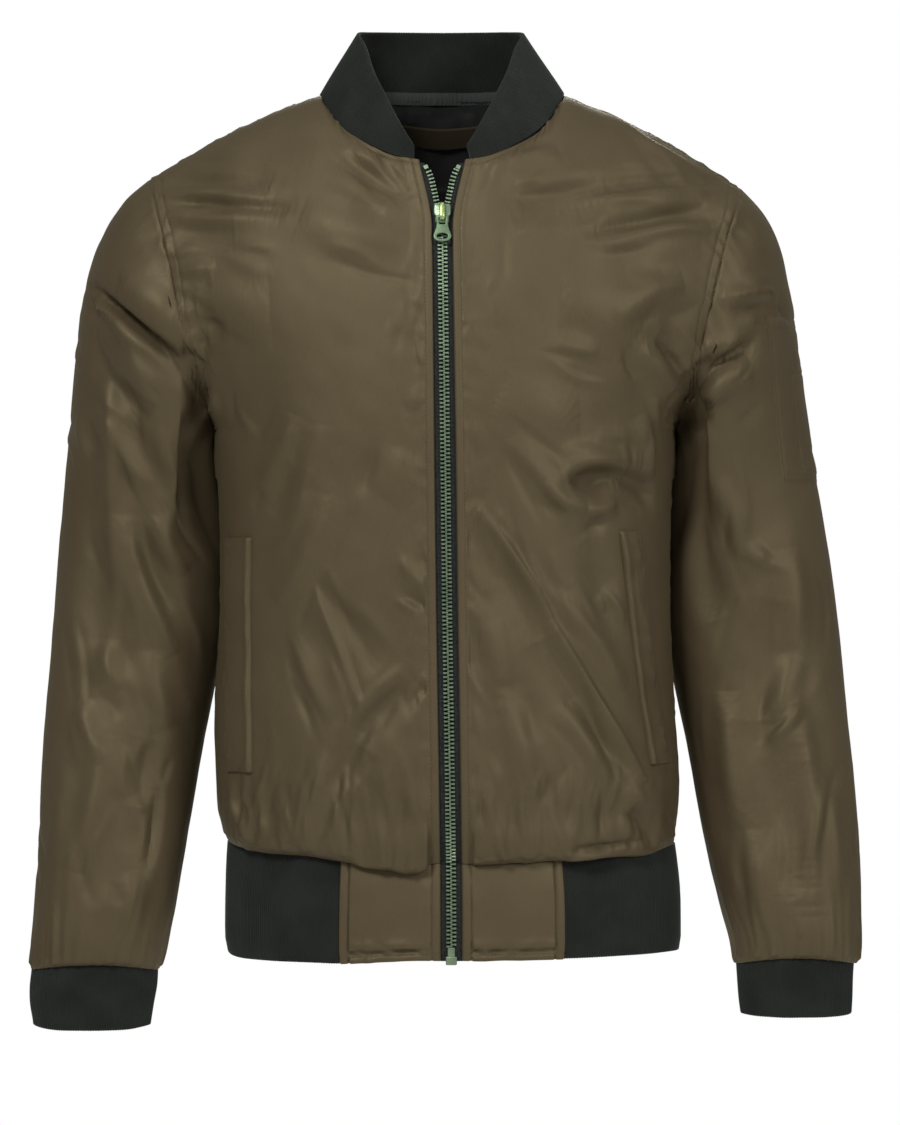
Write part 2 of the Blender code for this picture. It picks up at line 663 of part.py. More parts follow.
def across_at(x, z):
    """The front's column u that is x from the midline, below the underarm."""
    half_width = read(TORSO, z)[0]
    gap = zip_gap(z)
    return np.arcsin(((x - gap) / (half_width - gap)) ** (1 / BOXINESS)) / (math.pi / 2)


def add_welts(shell, lines):
    t = np.linspace(0, 1, 11)[:, None]
    for welt in WELTS:
        z = welt.bottom_z + (welt.top_z - welt.bottom_z) * t
        x = welt.bottom_x + (welt.top_x - welt.bottom_x) * t
        start, end = across_at(x, z), across_at(x + welt.seen_width, z)
        u = start + (end - start) * np.linspace(0, 1, 4)[None, :]
        grid = torso(welt.side, FRONT, u, (z - SEAM_Z) / (UNDERARM_Z - SEAM_Z))
        n = outward(grid)
        name = "pocket_welt_" + SIDE_NAMES[welt.side]
        cloth(name, folded(grid, n, lines), n, WELT_THICK, shell, lift=WELT_LIFT + WELT_THICK)


def ring_at(side, angle, z):
    """The ring number at which the sleeve's line at this angle is at height z."""
    rings = np.linspace(0, 12, 121)
    heights = sleeve(side, angle, rings)[:, 2]
    return np.interp(-z, -heights, rings)


def add_sleeve_pocket(shell, lines):
    for patch in SLEEVE_POCKETS:
        angles = np.radians(np.linspace(patch.from_deg, patch.to_deg, 10))
        t = np.linspace(0, 1, 8)
        ring = np.stack([
            ring_at(LEFT, angle, patch.bottom_z) * (1 - t) + ring_at(LEFT, angle, patch.top_z) * t
            for angle in angles
        ], axis=1)
        grid = sleeve(LEFT, angles[None, :], ring)
        n = outward(grid, centre=sleeve(LEFT, math.pi, ring))
        lift = patch.lift + PATCH_THICK
        cloth(patch.name, folded(grid, n, lines), n, PATCH_THICK, shell, lift=lift)


# ---------------------------------------------------------------- the ribs and the waistband


def add_collar(rib):
    """The collar runs from its right front end round the back to the left one."""
    front = np.linspace(0.02, 0.5, FRONT_NECK_COLUMNS + 1)
    back = np.linspace(0.5, 1, BACK_NECK_COLUMNS + 1)
    foot, top = neck(np.concatenate([front, back[1:]]))
    mirror = (RIGHT, 1, 1)
    foot = np.concatenate([foot * mirror, foot[-2::-1]])
    top = np.concatenate([top * mirror, top[-2::-1]])
    t = np.linspace(0, 1, COLLAR_ROWS + 1)[:, None, None]
    grid = foot + (top - foot) * t
    grid[..., 0] += body_lean(grid[..., 2])
    n = outward(grid, centre=np.array([0.0, -10.0, 0.0]))
    height = np.linalg.norm(top - foot, axis=-1)[None, :, None]
    grid += n * (COLLAR_BOW * height / height.max() * 4 * t * (1 - t))
    cloth("collar", drawn_in(grid, bottom=2 * SEAM_GAP), n, RIB_THICK, rib)


def add_cuffs(rib):
    for side in (RIGHT, LEFT):
        row = np.arange(len(CUFFS[side]), dtype=float)[:, None]
        *ring, lift = read(numbered(CUFFS[side]), row)
        outer_x, inner_x, z, depth, arch = ring
        angle = np.arange(20)[None, :] * math.pi / 10
        mid_y = SLEEVES[side][-1].mid_y
        grid = ring_points((outer_x, z, inner_x, z, mid_y, depth, arch), angle, side)
        grid[..., 2] += lift * np.cos(angle) ** 4
        cloth("cuff_" + SIDE_NAMES[side], grid, tube_normals(grid), RIB_THICK, rib, wrap=True)


def waistband(turn):
    """The waistband at turns round it: 0 is the centre front, positive is to the wearer's left."""
    z = np.array([band.z for band in WAISTBAND])[:, None]
    half_width, front, back = read([(-row[0], *row[1:]) for row in WAISTBAND], -z)
    across, along = np.sin(turn), np.cos(turn)
    share = np.clip(np.abs(across), 0, 1) ** BOXINESS
    middle = np.where(along > 0, zip_lean(z) * (1 - share) + body_lean(z) * share, body_lean(z))
    x = half_width * np.sign(across) * share + middle
    y = np.where(along > 0, -front, back) * np.abs(along) ** BOXINESS
    return stacked(x, y, z)


def turn_at(x):
    """The turn at which the waistband is x from the midline in front."""
    return math.asin((x / WAISTBAND[1].half_width) ** (1 / BOXINESS))


def add_waistband(shell, rib):
    edge = turn_at(TAB_HALF_WIDTH)
    grid = waistband(np.linspace(edge, 2 * math.pi - edge, 33)[None, :])
    cloth("hem_rib", grid, outward(grid), RIB_THICK, rib)
    for side in (RIGHT, LEFT):
        turn = np.linspace(turn_at(zip_gap(SEAM_Z)), turn_at(TAB_HALF_WIDTH - SEAM_GAP), 7)
        grid = waistband(side * turn[None, :])
        cloth("hem_tab_" + SIDE_NAMES[side], grid, outward(grid), SHELL_THICK, shell)


# ---------------------------------------------------------------- the lining at the neck


def add_neck_lining(lining, facing, made):
    grid, n = made["back"]
    first = LINING_FROM_ROW
    under = drawn_in(grid[first:], first=LINING_INSET, last=LINING_INSET, top=LINING_INSET)
    n = n[first:]
    depth = SHELL_THICK + LAY_GAP
    cloth("lining_back", under, n, LINING_THICK, lining, lift=-depth)
    depth += LINING_THICK + 3 * LAY_GAP
    top = under.shape[0] - 1
    for name, rows, reach, made_of in (
        ("neck_tape", (top - 0.25, top - 0.02), BACK_NECK_COLUMNS, lining),
        ("lining_band", (top - 1.92, top - 1.2), BACK_NECK_COLUMNS, facing),
    ):
        row = np.array(rows)[:, None]
        column = np.arange(BACK_CENTRE - reach, BACK_CENTRE + reach + 1.0)[None, :]
        strip, strip_n = between(under, row, column), between(n, row, column)
        cloth(name, strip, strip_n, LINING_THICK, made_of, lift=-depth)


# ---------------------------------------------------------------- the zip


def zip_line(z):
    """The zip's centre line on the outer face of the cloth."""
    depth = np.where(z < SEAM_Z, read([(-r[0], *r[1:]) for r in WAISTBAND], -z)[1], read(TORSO, z)[1])
    return stacked(zip_lean(z), -depth, z)


def zip_strip(name, side, z, start, end, near, far, made_of):
    """A bar along the zip, from start to end away from its centre line and from near to far behind the cloth."""
    line = zip_line(z)[:, None, :]
    across = np.stack([start, end], axis=1)[..., None] * side
    grid = line + across * (1, 0, 0)
    wall(name, grid + (0, near, 0), grid + (0, far, 0), made_of)


def add_zip_sides(tape, metal):
    rows = torso(LEFT, FRONT, 0.0, LEVELS)[:, 2]
    lower = [band.z for band in reversed(WAISTBAND)] + [z for z in rows[::2] if z < ZIP_PARTS_Z - 5]
    z = np.concatenate([lower, np.linspace(ZIP_PARTS_Z, TAPE_TOP_Z, 7)])
    chain_z = z[(z > CHAIN_BOTTOM_Z) & (z < CHAIN_TOP_Z)]
    chain_z = np.concatenate([[CHAIN_BOTTOM_Z], chain_z, [CHAIN_TOP_Z]])
    for side in (RIGHT, LEFT):
        name = SIDE_NAMES[side]
        edge = read(CHAIN, z)[0] + CHAIN_HALF_WIDTH + SEAM_GAP
        reach = zip_gap(z) + TAPE_UNDERLAP
        zip_strip("zip_tape_" + name, side, z, edge, reach, TAPE_BEHIND, TAPE_BEHIND + TAPE_THICK, tape)
        middle = read(CHAIN, chain_z)[0]
        zip_strip(
            "zip_chain_" + name, side, chain_z, middle - CHAIN_HALF_WIDTH, middle + CHAIN_HALF_WIDTH,
            CHAIN_BEHIND, CHAIN_BEHIND + CHAIN_THICK, metal,
        )
        stop_z = np.array([CHAIN_TOP_Z + SEAM_GAP, CHAIN_TOP_Z + 3.6])
        middle = read(CHAIN, stop_z)[0]
        zip_strip(
            "zip_top_stop_" + name, side, stop_z, middle - CHAIN_HALF_WIDTH, middle + CHAIN_HALF_WIDTH,
            CHAIN_BEHIND - 0.3, CHAIN_BEHIND + CHAIN_THICK, metal,
        )


def frame_at(z):
    """The matrix of a plane on the zip at height z: x across, y up along the zip, z out of the cloth."""
    low, high = zip_line(np.array([z - 8, z + 8]))
    up = Vector(high - low).normalized()
    across = Vector((1, 0, 0))
    out = across.cross(up).normalized()
    basis = Matrix((across, out.cross(across), out)).transposed()
    return Matrix.Translation(Vector(zip_line(z)) * MM) @ basis.to_4x4()


def plate(name, loops, low, high, frame, made_of, parent=None):
    """A flat plate between low and high above the cloth. Its first loop is the outline and the rest are holes."""
    curve = bpy.data.curves.new(name, "CURVE")
    curve.dimensions = "2D"
    curve.fill_mode = "BOTH"
    curve.extrude = (high - low) / 2 * MM
    for loop in loops:
        spline = curve.splines.new("POLY")
        spline.points.add(len(loop) - 1)
        for point, (x, y) in zip(spline.points, loop):
            point.co = (x * MM, y * MM, 0, 1)
        spline.use_cyclic_u = True
    drawn = bpy.data.objects.new(name, curve)
    bpy.context.scene.collection.objects.link(drawn)
    mesh = bpy.data.meshes.new_from_object(drawn.evaluated_get(bpy.context.evaluated_depsgraph_get()))
    bpy.data.objects.remove(drawn, do_unlink=True)
    bm = bmesh.new()
    bm.from_mesh(mesh)
    bmesh.ops.remove_doubles(bm, verts=bm.verts, dist=1e-6)
    bmesh.ops.recalc_face_normals(bm, faces=bm.faces)
    bmesh.ops.transform(bm, verts=bm.verts, matrix=frame @ Matrix.Translation((0, 0, (low + high) / 2 * MM)))
    bm.to_mesh(mesh)
    bm.free()
    mesh.materials.clear()
    return placed(name, mesh, made_of, parent)


def box_loop(x, low, high):
    return [(-x, low), (x, low), (x, high), (-x, high)]


def oval(x, y, centre, count=16):
    turns = [2 * math.pi * i / count for i in range(count)]
    return [(x * math.cos(a), centre + y * math.sin(a)) for a in turns]


def both_sides(half):
    """A closed outline from its right half, listed from the bottom to the top."""
    return half + [(-x, y) for x, y in reversed(half)]


def joined(name, pieces):
    """The pieces as one solid, by Boolean unions."""
    first, *others = pieces
    for other in others:
        modifier = first.modifiers.new(other.name, "BOOLEAN")
        modifier.operation = "UNION"
        modifier.solver = "EXACT"
        modifier.object = other
    made_of = first.data.materials[0]
    mesh = bpy.data.meshes.new_from_object(first.evaluated_get(bpy.context.evaluated_depsgraph_get()))
    for piece in pieces:
        bpy.data.objects.remove(piece, do_unlink=True)
    mesh.materials.clear()
    return placed(name, mesh, made_of)


def add_slider(metal, bright):
    frame = frame_at(SLIDER_Z)
    sideways = frame @ Matrix.Rotation(math.pi / 2, 4, "Y")
    outline = both_sides([(3.6, -8.5), (4.1, -7.6), (4.3, -2.0), (5.3, 1.5), (5.4, 6.4), (4.6, 7.4)])
    bridge = [(-0.5, -6.1), (-3.4, -6.1), (-4.5, -4.9), (-4.5, 6.0), (-3.4, 7.2), (-0.5, 7.2)]
    hollow = [(-0.9, -4.9), (-3.4, -4.9), (-3.4, 6.0), (-0.9, 6.0)]
    joined("zip_slider", [
        plate("front_plate", [outline], -0.6, 0.8, frame, metal),
        plate("back_plate", [outline], -6.3, -5.0, frame, metal),
        plate("post", [box_loop(1.1, 5.8, 7.3)], -5.6, 0.2, frame, metal),
        plate("bridge", [bridge, hollow], -1.5, 1.5, sideways, metal),
    ])
    tab = both_sides([
        (2.2, -23.7), (4.4, -22.6), (5.4, -20.0), (4.7, -17.2), (3.3, -13.0), (3.2, -9.5), (3.9, -4.6), (3.2, -2.4),
    ])
    holes = [box_loop(2.0, -8.6, -4.2), oval(3.3, 2.05, -19.8)]
    pivot = frame @ Vector((0, PULL_PIVOT[0] * MM, PULL_PIVOT[1] * MM))
    axis = empty("pull_tab_axis", pivot, bpy.data.objects["bomber_jacket"])
    from_pivot = Matrix.Translation(-pivot) @ frame
    low, high = PULL_PIVOT[1] - PULL_THICK / 2, PULL_PIVOT[1] + PULL_THICK / 2
    plate("zip_pull", [tab, *holes], low, high, from_pivot, bright, axis)


def add_zip_box(metal):
    frame = frame_at(BOX_Z)
    joined("zip_box", [
        plate("pin", [box_loop(2.9, -1.0, 6.4)], -3.4, -0.8, frame, metal),
        plate("box", [box_loop(4.2, -6.8, 0.0)], -4.0, 0.0, frame, metal),
    ])


def main():
    for obj in list(bpy.data.objects):
        bpy.data.objects.remove(obj, do_unlink=True)
    empty("bomber_jacket", (0, 0, 0))
    shell = material("olive_shell", (0.085, 0.066, 0.040), 0.45)
    rib = material("black_rib", (0.016, 0.018, 0.017), 0.9)
    lining = material("black_lining", (0.006, 0.006, 0.006), 0.35)
    facing = material("brown_facing", (0.020, 0.015, 0.008), 0.5)
    tape = material("zip_tape", (0.028, 0.030, 0.031), 0.85)
    metal = material("zip_metal", (0.20, 0.26, 0.16), 0.4, 0.8)
    bright = material("zip_pull_metal", (0.16, 0.24, 0.15), 0.35, 0.8)
    made, lines = panels()
    add_shell(shell, made)
    add_welts(shell, lines)
    add_sleeve_pocket(shell, lines)
    add_collar(rib)
    add_cuffs(rib)
    add_waistband(shell, rib)
    add_neck_lining(lining, facing, made)
    add_zip_sides(tape, metal)
    add_slider(metal, bright)
    add_zip_box(metal)


main()
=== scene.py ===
"""The looks of the bomber jacket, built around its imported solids.

Sizes are in millimetres here, in the same frame as the solids, and the meshes are in metres.
Folds on the front are placed by the photograph's pixels and then laid on the cloth.
"""

import math
from collections import namedtuple

import bmesh
import bpy
import numpy as np
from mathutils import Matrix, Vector
from mathutils.bvhtree import BVHTree


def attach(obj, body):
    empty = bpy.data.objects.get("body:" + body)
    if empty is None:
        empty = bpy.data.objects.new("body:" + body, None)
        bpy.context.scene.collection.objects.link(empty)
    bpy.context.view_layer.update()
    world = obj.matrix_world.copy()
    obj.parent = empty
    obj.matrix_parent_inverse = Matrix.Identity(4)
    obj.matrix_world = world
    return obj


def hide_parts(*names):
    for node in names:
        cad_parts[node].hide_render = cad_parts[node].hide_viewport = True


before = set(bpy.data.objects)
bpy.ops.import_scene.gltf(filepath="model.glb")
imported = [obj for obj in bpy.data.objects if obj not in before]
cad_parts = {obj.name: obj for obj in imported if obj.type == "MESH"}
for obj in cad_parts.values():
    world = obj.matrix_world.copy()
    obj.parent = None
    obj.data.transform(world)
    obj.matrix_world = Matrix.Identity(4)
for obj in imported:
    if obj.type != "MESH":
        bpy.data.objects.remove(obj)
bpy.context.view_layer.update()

MM = 0.001
ACROSS = np.array([1.0, 0.0, 0.0])
DOWN = np.array([0.0, 0.0, -1.0])
RIGHT, LEFT = -1, 1  # the wearer's right is -X
FRONT, BACK = -1, 1
SIDE_NAMES = {RIGHT: "right", LEFT: "left"}

# The camera of the photograph, and the size of one of its pixels at y = 0
CAMERA_AT = (3.95, -3800.0, -365.4)
CAMERA_LENS = 153.9
PIXEL = 0.79
PHOTO_MIDDLE = (450.0, 562.5)

# ---------------------------------------------------------------- the jacket's sizes, as in its solids

SHELL_THICK = 2.0
RIB_THICK = 2.8
SEAM_Z = -596.0
UNDERARM_Z = -262.0
FRONT_NECK_Z = -54.5
BACK_NECK_Z = 10.0
UNDERARM_LEVEL = 1.0  # a panel's level is 0 at its hem and 2 at its top
SHOULDER_LEVEL = 1.3
PULL_SPREAD = 0.3  # how far the pull of a panel's top edge is spread along it
BOXINESS = 0.9  # 1 is an ellipse's roundness, and less is boxier
NECK_SHARE = 0.5  # a panel's u is 0 at its middle, NECK_SHARE at the neck's end and 1 at the armhole
SHOULDER_SAG = np.array([0.0, -6.0, 4.5])
COLLAR_BOW = 0.8
TAB_HALF_WIDTH = 87.0


def rows_of(kind, rows):
    """A table's plain rows as rows of this named tuple."""
    return tuple(kind(*row) for row in rows)


Lean = namedtuple("Lean", "z zip_x body_x")
LEAN = rows_of(Lean, (
    (-680, 5.0, 6.0), (-640, 5.0, 6.0), (-596, 4.7, 5.2), (-577, 4.4, 3.6),
    (-530, 3.8, 2.0), (-480, 3.0, 0.0), (-420, 2.0, 0.0), (-300, 0.5, 0.0),
    (-200, -0.8, -0.8), (-100, -2.0, -2.0), (60, -2.0, -2.0),
))

Torso = namedtuple("Torso", "z half_width front back")
TORSO = rows_of(Torso, (
    (-596, 176.0, 117.5, 112.0),
    (-588, 177.5, 122.0, 116.5),
    (-577, 179.0, 126.5, 120.5),
    (-553, 182.2, 131.0, 124.5),
    (-529, 183.0, 131.5, 125.0),
    (-500, 182.5, 131.0, 122.0),
    (-458, 179.7, 129.0, 116.5),
    (-400, 177.0, 128.0, 113.0),
    (-350, 177.0, 129.0, 115.0),
    (-300, 179.0, 130.0, 119.0),
    (-262, 182.0, 130.0, 122.0),
    (-200, 182.0, 126.5, 126.0),
    (-150, 182.0, 119.0, 125.0),
    (-100, 182.0, 107.0, 116.0),
    (-54, 182.0, 92.5, 102.0),
    (10, 182.0, 92.5, 77.0),
))

Gap = namedtuple("Gap", "z half_width")
ZIP_GAP = rows_of(Gap, (
    (-672, 8.2), (-300, 8.2), (-112, 8.2), (-104, 8.3),
    (-91, 10.0), (-71, 14.5), (-54.5, 18.5), (60, 18.5),
))

Neck = namedtuple("Neck", "foot_x foot_y foot_z top_x top_y top_z")
NECK = rows_of(Neck, (
    (18.0, -92.5, -54.5, 19.0, -95.0, -49.0),
    (38.0, -88.5, -50.5, 32.0, -87.0, -25.0),
    (58.0, -78.0, -41.0, 43.5, -75.0, -2.0),
    (76.0, -60.0, -28.5, 53.0, -58.0, 19.0),
    (88.0, -35.0, -14.0, 59.0, -37.0, 38.5),
    (96.5, -4.0, 3.0, 65.0, -12.0, 51.0),
    (93.0, 26.0, 8.5, 63.5, 15.0, 56.0),
    (80.0, 51.0, 10.5, 54.0, 38.0, 58.5),
    (54.0, 68.0, 10.5, 37.0, 53.0, 60.0),
    (28.0, 75.0, 10.0, 19.0, 60.0, 60.5),
    (0.0, 77.0, 10.0, 0.0, 62.0, 60.5),
))

Ring = namedtuple("Ring", "outer_x outer_z inner_x inner_z mid_y depth arch")
SLEEVES = {
    RIGHT: rows_of(Ring, (
        (233.0, -62, 181.7, -262, 0, 65, 0),
        (257.5, -83, 182.2, -276, 6, 69, 0),
        (276.0, -116, 181.2, -291, 14, 71, 0),
        (288.3, -162, 178.5, -314, 23, 70, 0),
        (295.0, -216, 175.5, -345, 32, 67, 0),
        (301.0, -276, 173.5, -382, 38, 63, 0),
        (307.2, -342, 174.0, -420, 40, 60, 0),
        (312.7, -415, 183.0, -462, 35, 57, 0),
        (317.3, -490, 192.5, -512, 25, 53, 0),
        (321.0, -562, 201.0, -570, 13, 49, 0),
        (323.0, -628, 211.5, -628, 2, 45, 0),
        (325.0, -667, 220.5, -667, -4, 40, 3),
        (326.0, -686, 227.0, -686, -6, 30, 6),
    )),
    LEFT: rows_of(Ring, (
        (231.5, -68.5, 182.3, -262, 0, 65, 0),
        (252.5, -91, 182.6, -276, 6, 69, 0),
        (267.0, -121, 181.2, -291, 14, 71, 0),
        (276.0, -166, 178.5, -314, 23, 70, 0),
        (282.5, -219, 175.5, -345, 32, 67, 0),
        (291.5, -280, 173.5, -382, 38, 63, 0),
        (303.3, -343, 174.0, -420, 40, 60, 0),
        (312.3, -415, 182.5, -462, 35, 57, 0),
        (319.3, -490, 193.0, -512, 25, 53, 0),
        (325.0, -562, 203.5, -570, 13, 49, 0),
        (328.0, -626, 216.0, -628, 2, 45, 0),
        (326.5, -661, 226.0, -662, -4, 40, 3),
        (323.0, -681, 229.5, -681, -6, 30, 6),
    )),
}

LAST_RING = len(SLEEVES[LEFT]) - 1

Cuff = namedtuple("Cuff", "outer_x inner_x z depth arch lift")
CUFFS = {
    RIGHT: rows_of(Cuff, (
        (326.5, 226.5, -686.4, 30.0, 6, 0),
        (328.0, 227.0, -700.0, 30.5, 3, 0),
        (327.0, 230.0, -718.0, 29.5, 0, 2),
        (325.5, 232.0, -733.0, 27.0, 0, 3),
    )),
    LEFT: rows_of(Cuff, (
        (323.0, 229.5, -681.4, 30.0, 6, 0),
        (322.0, 230.5, -695.0, 30.5, 3, 0),
        (321.5, 232.0, -711.0, 29.5, 0, 2),
        (321.0, 233.5, -722.8, 27.0, 0, 2),
    )),
}

Band = namedtuple("Band", "z half_width front back")
WAISTBAND = rows_of(Band, (
    (-596.4, 176.0, 117.5, 112.0),
    (-615.0, 178.3, 120.0, 114.0),
    (-645.0, 179.7, 120.5, 114.5),
    (-664.0, 179.5, 119.5, 113.5),
    (-671.0, 178.0, 118.0, 112.0),
))

Welt = namedtuple("Welt", "side top_x top_z bottom_x bottom_z seen_width")
WELTS = rows_of(Welt, (
    (RIGHT, 150.5, -346.0, 150.5, -528.0, 20.5),
    (LEFT, 133.0, -341.0, 155.5, -522.0, 16.0),
))

Patch = namedtuple("Patch", "name from_deg to_deg bottom_z top_z lift")
SLEEVE_POCKETS = rows_of(Patch, (
    ("sleeve_pocket", -58, 56, -303.0, -172.0, 1.2),
    ("pen_pocket", -50, 38, -299.0, -207.0, 2.6),
))

Chain = namedtuple("Chain", "z offset")
CHAIN = rows_of(Chain, (
    (-680, 2.0), (-110, 2.0), (-99, 2.0), (-94, 3.2),
    (-88, 4.6), (-77.5, 6.9), (-67, 9.5), (-59, 13.0), (-52, 16.0),
))
CHAIN_BOTTOM_Z = -660.4
CHAIN_TOP_Z = -62.0
SLIDER_Z = -97.0
ZIP_BOX_Z = -667.2
TAPE_Z = (-670.9, -57.0)

# ---------------------------------------------------------------- creases

